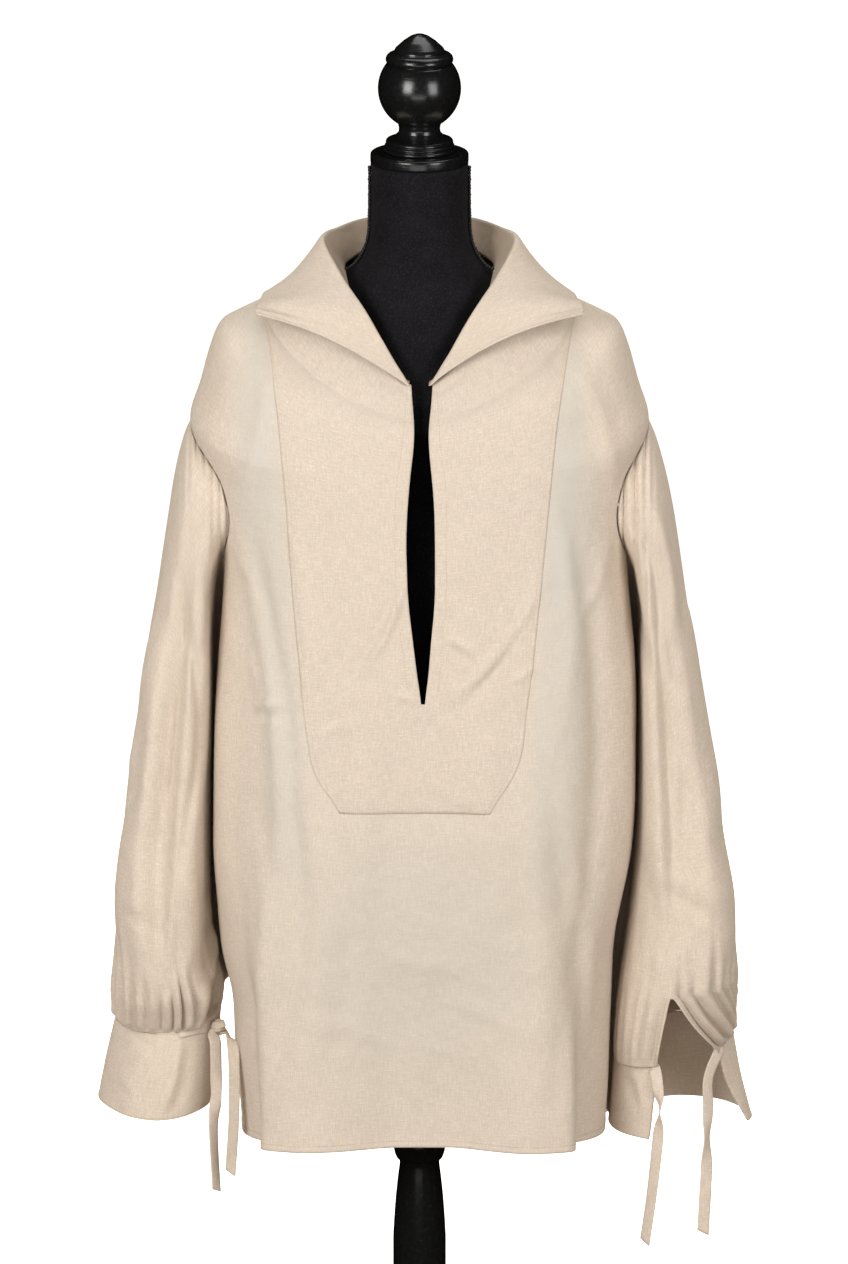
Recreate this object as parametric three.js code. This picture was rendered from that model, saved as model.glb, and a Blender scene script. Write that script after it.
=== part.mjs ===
// A long linen shirt-tunic with gathered sleeves, worn by a limbless dress form on a turned post.
// Millimetres, +Z up. The post's axis is X = Y = 0, the floor is Z = 0 and the front faces -Y.
import * as THREE from 'three';
import { mergeVertices } from 'three/addons/utils/BufferGeometryUtils.js';

// Driving sizes of the cloth.
const CLOTH = 1.5;
const BIB_CLOTH = 1.2;
const COLLAR_CLOTH = 1.6;
const CUFF_CLOTH = 2.2;
const SEAM = 0.4;
const ARMHOLE_SEAM = 1.9;
const ARMHOLE_RADIUS = 70;
const TIE_WIDTH = 12;
const TIE_CLOTH = 1.2;

// Driving sizes of the stand.
const FINIAL_TOP = 1620;
const BALL_RADIUS = 41.5;
const BALL_HEIGHT = 1564.4;
const CAP_RADIUS = 49;
const CAP_TOP = 1500;
const CAP_THICK = 11;
const FORM_BOTTOM = 662;
const FORM_CLEAR = 14;
const POST_RADIUS = 26.5;
const BASE_RADIUS = 190;
const BASE_THICK = 24;

// Rings of the dress form and of the body of the tunic, from the neck to the hem. half is the ring's
// half width, shift moves it along X, front and back are its depths, side, fore and aft are its
// heights at the side, the front and the back, and square makes it boxier than an ellipse.
const RING_COLUMNS = ['half', 'shift', 'front', 'back', 'side', 'fore', 'aft', 'square'];
const RINGS = {
  neck_top: [48.8, 0, 51, 49, 1488.4, 1488.4, 1488.4, 2],
  neck_mid: [48.9, 0, 53, 51, 1440, 1438, 1442, 2],
  neck_low: [51, 0, 58, 54, 1412, 1400, 1417, 2],
  neck_bend: [61, 0, 78, 60, 1392, 1345, 1402, 2.1],
  neckline: [76, 0, 99, 66, 1382, 1283, 1391, 2.2],
  shoulder_in: [112, 0, 107, 84, 1368, 1268, 1357, 2.3],
  shoulder_mid: [150, 0, 111, 97, 1351, 1255, 1326, 2.4],
  shoulder_out: [182, 0, 115, 105, 1336, 1243, 1300, 2.5],
  shoulder_turn: [198, 0, 118, 109, 1326, 1233, 1281, 2.55],
  drop_high: [208, 0, 120, 111, 1304, 1219, 1258, 2.6],
  drop_low: [218.5, 0, 122, 112, 1266, 1203, 1232, 2.6],
  armhole_top: [229, 0, 124, 113, 1226, 1186, 1202, 2.6],
  armhole_high: [215, 2, 126, 113, 1184, 1160, 1168, 2.65],
  armhole_low: [206, 4, 128, 113, 1135, 1123, 1127, 2.7],
  underarm: [202, 6, 130, 113, 1085, 1078, 1080, 2.8],
  chest: [205, 6.5, 133, 114, 1000, 997, 998, 2.9],
  waist: [206.5, 4.5, 135, 116, 915, 914, 914, 3],
  hip: [206.5, 3.5, 136, 120, 830, 830, 830, 3],
  thigh: [202, -1, 130, 121, 745, 746, 745, 3],
  skirt_high: [197, -2, 124, 120, 690, 692, 690, 3],
  skirt_mid: [190.5, 2.5, 117, 117, 640, 642, 640, 3],
  skirt_low: [188, 3, 112, 115, 590, 593, 590, 3],
  skirt_foot: [185, 4, 108, 113, 543, 546, 543, 3],
  hem: [182, 4, 106, 112, 500, 503, 500, 3],
};

// Long folds of the body. Angles run round the body in degrees, 0 at the front and 90 at its right.
// A fold rises from edge to ridge and falls again from crest to foot; out is its height. One whose
// bottom is at the hem runs out over it.
const HEM_HEIGHT = 500;
const FOLD_COLUMNS = ['edge', 'ridge', 'crest', 'foot', 'top', 'bottom', 'out', 'lean'];
const BODY_FOLDS = {
  left_lap: [-52, -42, -34, -8, 860, 500, 34, 0],
  right_lap: [48, 38, 30, 8, 860, 500, 36, 0],
  left_edge: [-82, -68, -64, -52, 1150, 700, 7, 0],
  right_edge: [86, 70, 66, 54, 1130, 690, 8, 0],
  left_drape: [-50, -40, -38, -26, 1190, 760, 5, 6],
  right_drape: [52, 42, 38, 24, 1210, 740, 6, -8],
  left_chest: [-24, -15, -14, -5, 1010, 700, 4, -5],
  right_chest: [5, 13, 15, 24, 1000, 680, 5, 6],
  back_first: [108, 117, 121, 132, 1180, 500, 13, 0],
  back_second: [134, 143, 147, 158, 1240, 500, 12, 3],
  back_third: [160, 170, 174, 186, 1290, 500, 15, 0],
  back_fourth: [190, 200, 203, 215, 1260, 500, 13, -2],
  back_fifth: [222, 232, 236, 250, 1200, 500, 13, 0],
};

// The open neck slit: its two edges at each height of the front.
const EDGE_COLUMNS = ['height', 'left', 'right'];
const SLIT = [
  [1290, -9, 13], [1273, -7.5, 13.5], [1252, -5.5, 9.5], [1232, -4.5, 8.5], [1212, -7.5, 10.5],
  [1172, -11.5, 14.5], [1131, -13.5, 15.5], [1070, -11.5, 15.5], [1029, -6.5, 11.5], [988, -1.5, 8.5],
  [966, 0.5, 5.5], [500, 0.5, 5.5],
];
// Rings of the front higher than this are open at the slit.
const SLIT_FOOT = 954;

// The bib sewn on the front: its two edges at each height.
const BIB = [
  [1345, -156, 156], [1309, -147.5, 147.5], [1252, -141.5, 138.5], [1041, -121.5, 115.5],
  [1008, -117.5, 112.5], [956, -113, 105.5], [913, -108.5, 102], [890, -103.5, 93],
  [869, -90.5, 78], [854, -74.5, 64.5],
];
const BIB_FOOT = 854;

// The collar, a deep band turned over at the neck. For each angle round the neckline: the point where
// it rolls over and the point of its outer edge, as distances from the middle, depths and heights.
const COLLAR_COLUMNS = ['angle', 'rollX', 'rollY', 'rollZ', 'edgeX', 'edgeY', 'edgeZ', 'swell'];
const COLLAR = [
  [180, 0, 80, 1419, 0, 117, 1341, 6],
  [152, 49, 69, 1418, 74, 110, 1341, 5],
  [122, 80, 39, 1415, 121, 72, 1347, 2],
  [94, 97, 4, 1411, 150, 6, 1356, -4],
  [66, 79, -46, 1385, 158, -34, 1356, 1],
  [46, 53, -82, 1354, 162, -55, 1355, 6],
  [29, 31.5, -98, 1319, 164, -69, 1355, 7],
  [16, 17.5, -103.2, 1296, 164, -78, 1354, 6],
  [8, 10, -104.4, 1284, 163, -84, 1353, 5],
];

// Rings of a sleeve from the armhole to the cuff: outX and outZ lie on the side away from the body,
// inX and inZ beside the body, depth is half its depth and dip how far its front hangs lower.
const SLEEVE_COLUMNS = ['outX', 'outZ', 'inX', 'inZ', 'depth', 'dip'];
const LEFT_SLEEVE = {
  armhole: [229, 1226, 200, 1085, 70, 0],
  crown: [240, 1196, 204, 1060, 82, 0],
  upper_arm: [252, 1123, 206.5, 1003, 84, 0],
  above_elbow: [264, 1041, 207, 945, 82, 0],
  elbow: [279, 940, 208, 880, 80, 0],
  forearm: [292, 835, 209, 800, 80, 0],
  full: [302, 752, 209, 735, 82, 0],
  drop: [304.5, 692, 206, 690, 80, 4],
  turn: [304.5, 652, 198, 657, 72, 8],
  gather: [303.5, 632, 197, 639, 60, 12],
  seam: [304, 617, 199, 623, 50, 13],
};
const RIGHT_SLEEVE = {
  armhole: [229, 1226, 212, 1085, 70, 0],
  crown: [240.5, 1196, 217, 1060, 82, 0],
  upper_arm: [255.5, 1123, 218.5, 1003, 84, 0],
  above_elbow: [267.5, 1041, 218.5, 945, 82, 0],
  elbow: [282, 940, 218, 880, 80, 0],
  forearm: [297, 835, 216, 800, 80, 0],
  full: [309, 752, 211, 730, 82, 0],
  drop: [317, 688, 204.5, 680, 82, 4],
  turn: [316, 645, 199.5, 642, 76, 8],
  gather: [314.5, 620, 196, 605, 66, 11],
  seam: [314, 600.5, 194.5, 577, 55, 13],
};

// Long folds down a sleeve. Angles run round it in degrees: 0 away from the body, 90 at the front.
const LEFT_SLEEVE_FOLDS = {
  outer_lobe: [18, 40, 60, 84, 1130, 640, 9, 0],
  inner_lobe: [88, 104, 118, 142, 1150, 650, 9, 0],
  back_outer: [232, 250, 262, 284, 1150, 640, 9, 4],
  back_inner: [292, 308, 318, 338, 1120, 640, 7, -4],
};
const RIGHT_SLEEVE_FOLDS = {
  outer_lobe: [12, 34, 56, 82, 1140, 640, 9, 0],
  inner_lobe: [92, 106, 122, 146, 1130, 700, 8, 6],
  back_outer: [230, 248, 260, 282, 1150, 640, 9, -4],
  back_inner: [290, 306, 318, 340, 1120, 640, 8, 4],
};
const SLEEVE_GATHERS = 10;
const ARMHOLE_GATHER = 3.2;
const CUFF_GATHER = 3.4;

// The opening of the right sleeve above its cuff: it starts at a row of the sleeve's rings.
const OPENING_TOP = 7.6;
const OPENING_ANGLES = { top: 97, outer: 47, inner: 105, joined: 3 };

// Rings of the cuffs, with the same columns as a sleeve's.
const LEFT_CUFF = {
  seam: [304, 616.4, 199, 622.4, 50, 13],
  middle: [314, 574, 202, 575, 56, 12],
  edge: [322.5, 530.5, 209, 527.5, 58, 11],
};
const RIGHT_CUFF = {
  seam: [314, 599.9, 194.5, 576.4, 55, 13],
  middle: [322, 554, 192.5, 540, 60, 12],
  edge: [333.5, 508.5, 189.5, 503, 64, 8],
};
const CUFF_SQUARE = 1.75;
// The right cuff's two front ends, as angles at its seam and at its edge.
const RIGHT_CUFF_ENDS = { seam: [45, 106], edge: [12, 118] };

const radians = THREE.MathUtils.degToRad;
const smooth = (low, high, value) => {
  const t = THREE.MathUtils.clamp((value - low) / (high - low), 0, 1);
  return t * t * (3 - 2 * t);
};

// A row of a table with its columns named.
function named(columns, values) {
  return Object.fromEntries(columns.map((name, index) => [name, values[index]]));
}

// Reads a table by a running row number, with a smooth curve through the rows.
function tableReader(rows, columns) {
  const last = rows.length - 1;
  return (row) => {
    const place = THREE.MathUtils.clamp(row, 0, last);
    const first = Math.min(Math.floor(place), last - 1);
    const t = place - first;
    const pick = (index) => rows[THREE.MathUtils.clamp(index, 0, last)];
    const [start, end] = [pick(first), pick(first + 1)];
    return named(columns, start.map((value, index) => {
      const slopeIn = (end[index] - pick(first - 1)[index]) / 2;
      const slopeOut = (pick(first + 2)[index] - value) / 2;
      const change = end[index] - value;
      return value + t * slopeIn
        + t * t * (3 * change - 2 * slopeIn - slopeOut)
        + t * t * t * (slopeIn + slopeOut - 2 * change);
    }));
  };
}

// Reads a table of edges by height, straight between its rows, which fall.
function edgeReader(table) {
  const rows = table.map((values) => named(EDGE_COLUMNS, values));
  return (height) => {
    let below = rows.findIndex((row) => row.height <= height);
    if (below < 0) below = rows.length - 1;
    const [low, high] = [rows[below], rows[Math.max(below - 1, 0)]];
    const span = high.height - low.height;
    const t = span > 0 ? THREE.MathUtils.clamp((height - low.height) / span, 0, 1) : 0;
    return {
      left: THREE.MathUtils.lerp(low.left, high.left, t),
      right: THREE.MathUtils.lerp(low.right, high.right, t),
    };
  };
}

const ringNames = Object.keys(RINGS);
const ROW = Object.fromEntries(ringNames.map((name, index) => [name, index]));
const readRing = tableReader(Object.values(RINGS), RING_COLUMNS);
const readSlit = edgeReader(SLIT);
const readBib = edgeReader(BIB);

// How far a list of long folds lifts the cloth at an angle and a height.
function foldHeight(folds, angle, height) {
  let total = 0;
  for (const values of Object.values(folds)) {
    const fold = named(FOLD_COLUMNS, values);
    const along = THREE.MathUtils.clamp((fold.top - height) / (fold.top - fold.bottom), 0, 1);
    const shift = fold.lean * along;
    const rise = smooth(0, 1, (angle - fold.edge - shift) / (fold.ridge - fold.edge));
    const fall = smooth(0, 1, (fold.foot + shift - angle) / (fold.foot - fold.crest));
    const runsOut = fold.bottom <= HEM_HEIGHT;
    const fadeIn = smooth(0, runsOut ? 1.1 : 0.45, along);
    const fadeOut = runsOut ? 1 : 1 - smooth(0.75, 1, along);
    total += fold.out * rise * fall * fadeIn * fadeOut;
  }
  return total;
}

// A point of the plain body surface, then of the same surface with its folds.
function bodyBase(angle, row) {
  const ring = readRing(row);
  const sine = Math.sin(radians(angle));
  const cosine = Math.cos(radians(angle));
  const norm = (Math.abs(sine) ** ring.square + Math.abs(cosine) ** ring.square) ** (1 / ring.square);
  const depth = cosine > 0 ? ring.front : ring.back;
  const level = cosine > 0 ? ring.fore : ring.aft;
  return new THREE.Vector3(
    ring.shift + ring.half * sine / norm,
    -depth * cosine / norm,
    ring.side + (level - ring.side) * cosine * cosine,
  );
}

function bodyPoint(angle, row) {
  const point = bodyBase(angle, row);
  const turned = angle < -95 ? angle + 360 : angle;
  const lift = foldHeight(BODY_FOLDS, turned, point.z);
  point.x += lift * Math.sin(radians(angle));
  point.y -= lift * Math.cos(radians(angle));
  return point;
}

// The angle at which a row of the body has a given X, on the front.
function angleAtX(x, row) {
  let low = -90;
  let high = 90;
  for (let step = 0; step < 30; step += 1) {
    const middle = (low + high) / 2;
    if (bodyBase(middle, row).x < x) low = middle;
    else high = middle;
  }
  return (low + high) / 2;
}

// The row at which the middle of the front has a given height.
function rowAtHeight(height) {
  let low = ROW.neckline;
  let high = ROW.hem;
  for (let step = 0; step < 30; step += 1) {
    const middle = (low + high) / 2;
    if (readRing(middle).fore > height) low = middle;
    else high = middle;
  }
  return (low + high) / 2;
}

// A surface's outward normal, from four points close round the one asked for.
function outwardNormal(at, u, v, stepU, stepV, turned) {
  const acrossU = at(u + stepU, v).sub(at(u - stepU, v));
  const alongV = at(u, v + stepV).sub(at(u, v - stepV));
  const normal = alongV.cross(acrossU).normalize();
  return turned ? normal.negate() : normal;
}

// A closed cloth wall on a grid of places of a surface. Its outer face lies lift off the surface and
// its inner face a thickness below that. Cells for which missing says true are left open.
function clothWall({ at, grid, thickness, lift = 0, closed = false, turned = false,
  missing = () => false, stepU = 0.5, stepV = 0.02 }) {
  const rows = grid.length;
  const columns = grid[0].length;
  const cells = closed ? columns : columns - 1;
  const positions = [];
  for (const depth of [lift, lift - thickness]) {
    for (const line of grid) {
      for (const [u, v] of line) {
        const normal = outwardNormal(at, u, v, stepU, stepV, turned);
        const point = at(u, v).addScaledVector(normal, depth);
        positions.push(point.x, point.y, point.z);
      }
    }
  }
  const indices = [];
  const triangle = (a, b, c) => (turned ? indices.push(a, c, b) : indices.push(a, b, c));
  const inner = rows * columns;
  const present = (i, j) => i >= 0 && i < rows - 1 && (closed || (j >= 0 && j < cells))
    && !missing(i, closed ? (j + cells) % cells : j);
  const edge = (p, q) => {
    triangle(q, p, p + inner);
    triangle(q, p + inner, q + inner);
  };
  for (let i = 0; i < rows - 1; i += 1) {
    for (let j = 0; j < cells; j += 1) {
      if (present(i, j)) {
        const next = (j + 1) % columns;
        const [a, b] = [i * columns + j, i * columns + next];
        const [c, d] = [a + columns, b + columns];
        triangle(a, c, b);
        triangle(b, c, d);
        triangle(a + inner, b + inner, c + inner);
        triangle(b + inner, d + inner, c + inner);
        if (!present(i, j - 1)) edge(a, c);
        if (!present(i + 1, j)) edge(c, d);
        if (!present(i, j + 1)) edge(d, b);
        if (!present(i - 1, j)) edge(b, a);
      }
    }
  }
  return solid(positions, indices);
}

// A closed geometry from corner positions and triangles, without the corners that none uses.
function solid(positions, indices) {
  const kept = new Map();
  const corners = [];
  const order = indices.map((index) => {
    if (!kept.has(index)) {
      kept.set(index, kept.size);
      corners.push(positions[3 * index], positions[3 * index + 1], positions[3 * index + 2]);
    }
    return kept.get(index);
  });
  const geometry = new THREE.BufferGeometry();
  geometry.setAttribute('position', new THREE.Float32BufferAttribute(corners, 3));
  geometry.setIndex(order);
  geometry.computeVertexNormals();
  return geometry;
}

// Evenly spaced numbers from low to high, both included.
function steps(low, high, count) {
  return Array.from({ length: count + 1 }, (_, index) => low + (high - low) * index / count);
}

// Materials.
const linen = () => new THREE.MeshStandardMaterial({ color: 0xe2d6bf, roughness: 0.9, metalness: 0 });
const jersey = () => new THREE.MeshStandardMaterial({ color: 0x17161a, roughness: 0.95, metalness: 0 });
const blackWood = () => new THREE.MeshStandardMaterial({ color: 0x1d1d20, roughness: 0.45, metalness: 0 });

const tunic = new THREE.Group();

function addPiece(name, geometry, material) {
  geometry.deleteAttribute('normal');
  if (geometry.getAttribute('uv')) geometry.deleteAttribute('uv');
  const merged = mergeVertices(geometry, 1e-4);
  merged.computeVertexNormals();
  const mesh = new THREE.Mesh(merged, material);
  mesh.name = name;
  tunic.add(mesh);
}

// The armhole: a loop on the side of the body from armhole_top to the underarm.
const ARMHOLE_SWING = 30;
const ARMHOLE_STEPS = 10;
const armholeSpan = ROW.underarm - ROW.armhole_top;

function armholeRow(turn, scale = 1) {
  return ROW.armhole_top + armholeSpan * (1 - scale * Math.cos(radians(turn))) / 2;
}

function armholeAngle(turn, scale = 1) {
  return 90 - scale * ARMHOLE_SWING * Math.sin(radians(turn));
}

// The angle of the body's side edge at a row: the seam, or the armhole where it is cut out.
function sideAngle(row) {
  const part = (row - ROW.armhole_top) / armholeSpan;
  if (part <= 0 || part >= 1) return 90;
  return 90 - ARMHOLE_SWING * Math.sqrt(1 - (2 * part - 1) ** 2);
}

const shoulderRows = steps(ROW.neckline, ROW.drop_low, 6);
const armholeRows = steps(0, 180, ARMHOLE_STEPS).map((turn) => armholeRow(turn));
const bibFootRows = [892, 868, BIB_FOOT].map((height) => rowAtHeight(height));
const chestRows = steps(ROW.underarm + 0.8, bibFootRows[0], 2).slice(0, 2);
const skirtRows = steps(ROW.hip + 0.4, ROW.hem, 7);
const bodyRows = [...shoulderRows, ...armholeRows, ...chestRows, ...bibFootRows, ...skirtRows];
const bibRows = bodyRows.slice(0, bodyRows.length - skirtRows.length);

// A seam's half gap as an angle at a row.
const seamAngle = (row) => THREE.MathUtils.radToDeg(SEAM / 2 / readRing(row).front);

// The angle of the bib's edge at a row, kept short of the side seam.
const BIB_MARGIN = 8;

function bibEdge(row, side) {
  let low = 0;
  let high = sideAngle(row) - BIB_MARGIN;
  for (let step = 0; step < 24; step += 1) {
    const middle = (low + high) / 2;
    const point = bodyBase(side * middle, row);
    const limits = readBib(point.z);
    const limit = side < 0 ? -limits.left : limits.right;
    if (side * point.x < limit) low = middle;
    else high = middle;
  }
  return side * low;
}

// The front's columns at a row: side edge, bib edge and slit edge of each half, with steps between.
const SIDE_COLUMNS = 5;
const BIB_COLUMNS = 6;

function bibAngles(row) {
  const slit = readSlit(readRing(row).fore);
  const left = steps(bibEdge(row, -1), angleAtX(slit.left, row), BIB_COLUMNS);
  const right = steps(angleAtX(slit.right, row), bibEdge(row, 1), BIB_COLUMNS);
  return [...left, ...right];
}

function frontAngles(row) {
  const middle = bibAngles(row);
  const side = sideAngle(row) - seamAngle(row);
  const left = steps(-side, middle[0], SIDE_COLUMNS).slice(0, SIDE_COLUMNS);
  const right = steps(middle[middle.length - 1], side, SIDE_COLUMNS).slice(1);
  return [...left, ...middle, ...right];
}

// A grid of places of the body, open at the slit between two of its columns.
function slitWall(rows, anglesAt, slitColumn, thickness, lift) {
  const grid = rows.map((row) => anglesAt(row).map((angle) => [angle, row]));
  const missing = (i, j) => j === slitColumn && readRing(rows[i + 1]).fore > SLIT_FOOT;
  return clothWall({ at: bodyPoint, grid, thickness, lift, missing });
}

function frontGeometry() {
  return slitWall(bodyRows, frontAngles, SIDE_COLUMNS + BIB_COLUMNS, CLOTH, 0);
}

// The bib follows the front's own points, moved out to lie on it.
function bibGeometry() {
  return slitWall(bibRows, bibAngles, BIB_COLUMNS, BIB_CLOTH, BIB_CLOTH + SEAM);
}

function backGeometry() {
  const columns = 16;
  const grid = bodyRows.map((row) => {
    const side = sideAngle(row) - seamAngle(row);
    return steps(180 - side, 180 + side, columns).map((angle) => [angle, row]);
  });
  return clothWall({ at: bodyPoint, grid, thickness: CLOTH });
}

// The collar runs from its left front end (-1) round the back (0) to its right front end (1). Across
// it, 0 is the neck seam, 1 the roll and 2 the outer edge.
const readCollar = tableReader(COLLAR, COLLAR_COLUMNS);

function collarPoint(along, across) {
  const side = along < 0 ? -1 : 1;
  const station = readCollar(Math.abs(along) * (COLLAR.length - 1));
  const seam = bodyBase(side * station.angle, ROW.neckline - 0.05);
  const roll = new THREE.Vector3(side * station.rollX, station.rollY, station.rollZ);
  const edge = new THREE.Vector3(side * station.edgeX, station.edgeY, station.edgeZ);
  if (across <= 1) return seam.lerp(roll, across);
  const t = across - 1;
  const point = roll.clone().lerp(edge, t);
  const out = point.clone().setZ(0).normalize();
  const swell = station.swell * Math.sin(Math.PI * t);
  return point.addScaledVector(out, swell * 0.5).add(new THREE.Vector3(0, 0, swell));
}

function collarGeometry() {
  const stations = steps(-1, 1, 28);
  const acrossSteps = [0, 0.5, 0.92, 1.04, 1.2, 1.45, 1.72, 2];
  const grid = acrossSteps.map((across) => stations.map((along) => [along, across]));
  const at = (along, across) => collarPoint(along, across);
  return clothWall({ at, grid, thickness: COLLAR_CLOTH, stepU: 0.02, stepV: 0.04 });
}

// A sleeve: side is -1 at the left and 1 at the right, and around runs from 0 to 1 round it.
function sleeveSurface(side, table, folds, opened) {
  const rings = tableReader(Object.values(table), SLEEVE_COLUMNS);
  const last = Object.keys(table).length - 1;
  const turnAt = (around, row) => {
    if (!opened) return 360 * around;
    const spread = Math.max(0, (row - OPENING_TOP) / (last - OPENING_TOP)) ** 0.8;
    const low = OPENING_ANGLES.top - OPENING_ANGLES.joined / 2
      + (OPENING_ANGLES.outer - OPENING_ANGLES.top) * spread;
    const high = OPENING_ANGLES.top + OPENING_ANGLES.joined / 2
      + (OPENING_ANGLES.inner - OPENING_ANGLES.top) * spread;
    return high + (360 + low - high) * around;
  };
  return (around, row) => {
    const turn = turnAt(around, row);
    const sine = Math.sin(radians(turn));
    const cosine = Math.cos(radians(turn));
    const ring = rings(row);
    const square = 2.4;
    const norm = (Math.abs(sine) ** square + Math.abs(cosine) ** square) ** (1 / square);
    const reach = cosine / norm;
    const point = new THREE.Vector3(
      side * ((ring.outX + ring.inX) / 2 + reach * (ring.outX - ring.inX) / 2),
      -ring.depth * sine / norm,
      (ring.outZ + ring.inZ) / 2 + reach * (ring.outZ - ring.inZ) / 2 - ring.dip * sine,
    );
    const nearBody = 1 - 0.8 * smooth(0.3, 0.9, -cosine);
    const gatherTop = ARMHOLE_GATHER * smooth(0, 0.6, row) * (1 - smooth(1.2, 3.4, row));
    const drawnIn = 1 - 0.7 * smooth(last - 0.9, last, row);
    const gatherFoot = CUFF_GATHER * smooth(last - 3.6, last - 1.2, row) * drawnIn;
    const waves = opened ? SLEEVE_GATHERS - 1 : SLEEVE_GATHERS;
    const wave = (gatherTop + gatherFoot) * Math.cos(2 * Math.PI * waves * around);
    const lift = nearBody * (wave + foldHeight(folds, ((turn % 360) + 360) % 360, point.z));
    point.x += side * lift * cosine;
    point.y -= lift * sine;
    const join = smooth(0, 1.6, row);
    if (join < 1) {
      const scale = 1 - ARMHOLE_SEAM / ARMHOLE_RADIUS;
      const loop = bodyPoint(side * armholeAngle(turn, scale), armholeRow(turn, scale));
      point.lerpVectors(loop, point.clone(), join);
    }
    return point;
  };
}

const SLEEVE_SHAPES = {
  left: { side: -1, table: LEFT_SLEEVE, folds: LEFT_SLEEVE_FOLDS, opened: false },
  right: { side: 1, table: RIGHT_SLEEVE, folds: RIGHT_SLEEVE_FOLDS, opened: true },
};
for (const shape of Object.values(SLEEVE_SHAPES)) {
  shape.at = sleeveSurface(shape.side, shape.table, shape.folds, shape.opened);
}

const SLEEVE_COLUMNS_ROUND = 40;
const SLEEVE_ROWS = [0.05, 0.5, 1, 1.6, 2.3, 3, 4, 5, 6, 6.8, OPENING_TOP, 8.1, 8.7, 9.3, 10];

function sleeveGeometry({ side, at, opened }) {
  const columns = SLEEVE_COLUMNS_ROUND;
  const parts = opened ? columns - 1 : columns;
  const places = steps(0, 1, parts).slice(0, columns);
  const grid = SLEEVE_ROWS.map((row) => places.map((around) => [around, row]));
  const missing = (i, j) => opened && j === columns - 1 && SLEEVE_ROWS[i] >= OPENING_TOP;
  return clothWall({
    at, grid, thickness: CLOTH, closed: true, turned: side > 0, missing, stepU: 0.004, stepV: 0.02,
  });
}

// A cuff hangs from the sleeve's seam. The right one is open between its two front ends.
function cuffSurface(side, table) {
  const rings = tableReader(Object.values(table), SLEEVE_COLUMNS);
  return (turn, row) => {
    const ring = rings(row);
    const sine = Math.sin(radians(turn));
    const cosine = Math.cos(radians(turn));
    const powers = Math.abs(sine) ** CUFF_SQUARE + Math.abs(cosine) ** CUFF_SQUARE;
    const forward = sine / powers ** (1 / CUFF_SQUARE);
    const outward = cosine / powers ** (1 / CUFF_SQUARE);
    return new THREE.Vector3(
      side * ((ring.outX + ring.inX) / 2 + outward * (ring.outX - ring.inX) / 2),
      -ring.depth * forward,
      (ring.outZ + ring.inZ) / 2 + outward * (ring.outZ - ring.inZ) / 2 - ring.dip * forward,
    );
  };
}

const CUFFS = {
  left: { side: -1, at: cuffSurface(-1, LEFT_CUFF), ends: null },
  right: { side: 1, at: cuffSurface(1, RIGHT_CUFF), ends: RIGHT_CUFF_ENDS },
};
const CUFF_TURN_STEP = 1;
const CUFF_ROW_STEP = 0.05;

function cuffGeometry({ side, at, ends }) {
  const columns = 24;
  const grid = steps(0, 2, 4).map((row) => {
    if (!ends) return steps(0, 360, columns).slice(0, columns).map((turn) => [turn, row]);
    const outer = THREE.MathUtils.lerp(ends.seam[0], ends.edge[0], row / 2);
    const inner = THREE.MathUtils.lerp(ends.seam[1], ends.edge[1], row / 2);
    return steps(inner, 360 + outer, columns).map((turn) => [turn, row]);
  });
  return clothWall({
    at,
    grid,
    thickness: CUFF_CLOTH,
    closed: !ends,
    turned: side > 0,
    stepU: CUFF_TURN_STEP,
    stepV: CUFF_ROW_STEP,
  });
}

// A place on a cuff's outer face, moved out by a distance.
function onCuff({ side, at }, turn, row, out) {
  const normal = outwardNormal(at, turn, row, CUFF_TURN_STEP, CUFF_ROW_STEP, side > 0);
  return at(turn, row).addScaledVector(normal, out);
}

// The knot of the left cuff's ties, a soft lump of folded tape on the cuff's seam.
const KNOT_TURN = 152;
const KNOT_ROW = 0.25;
const KNOT_SIZE = [7.5, 6, 7];
const knotPlace = onCuff(CUFFS.left, KNOT_TURN, KNOT_ROW, KNOT_SIZE[1] + 1.4);

// The tie tapes. Each starts at places on its cuff, as turns and rows, or at the knot, as steps from
// its middle. It then hangs through the places of path, with its width in the direction across.
const TIE_STARTS = {
  left_wrap: [[101, 0.24], [112, 0.2], [124, 0.2], [133, 0.22], [139, 0.24]],
  right_inner: [[111, 0.08], [108, 0.16]],
  right_outer: [[38, 0.1], [39, 0.2]],
};
const TIES = {
  tie_left_wrap: {
    cuff: CUFFS.left,
    start: TIE_STARTS.left_wrap,
    path: [],
    width: 10,
    across: [0, 0.16, 1],
  },
  tie_left_front: {
    start: [[5, 1, -7.4]],
    path: [[-188, -43, 598], [-186, -55, 568], [-186.5, -61, 520], [-190, -62, 465]],
    width: TIE_WIDTH,
    across: [1, -0.3, 0],
  },
  tie_left_back: {
    start: [[-5.4, -4.4, -6.6]],
    path: [[-204, -39, 590], [-204, -44, 545], [-206, -46, 505], [-203, -44, 442]],
    width: TIE_WIDTH,
    across: [1, 0.35, 0],
  },
  tie_right_inner: {
    cuff: CUFFS.right,
    start: TIE_STARTS.right_inner,
    path: [[238.5, -62, 553], [240, -64, 530], [238, -64, 495], [232, -63, 440], [225.5, -61, 393]],
    width: TIE_WIDTH,
    across: [1, -0.25, 0.2],
  },
  tie_right_outer: {
    cuff: CUFFS.right,
    start: TIE_STARTS.right_outer,
    path: [[290, -48, 560], [289.5, -50, 530], [288.5, -51, 480], [284.5, -51, 400]],
    width: TIE_WIDTH,
    across: [1, 0.9, 0.36],
  },
};

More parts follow.
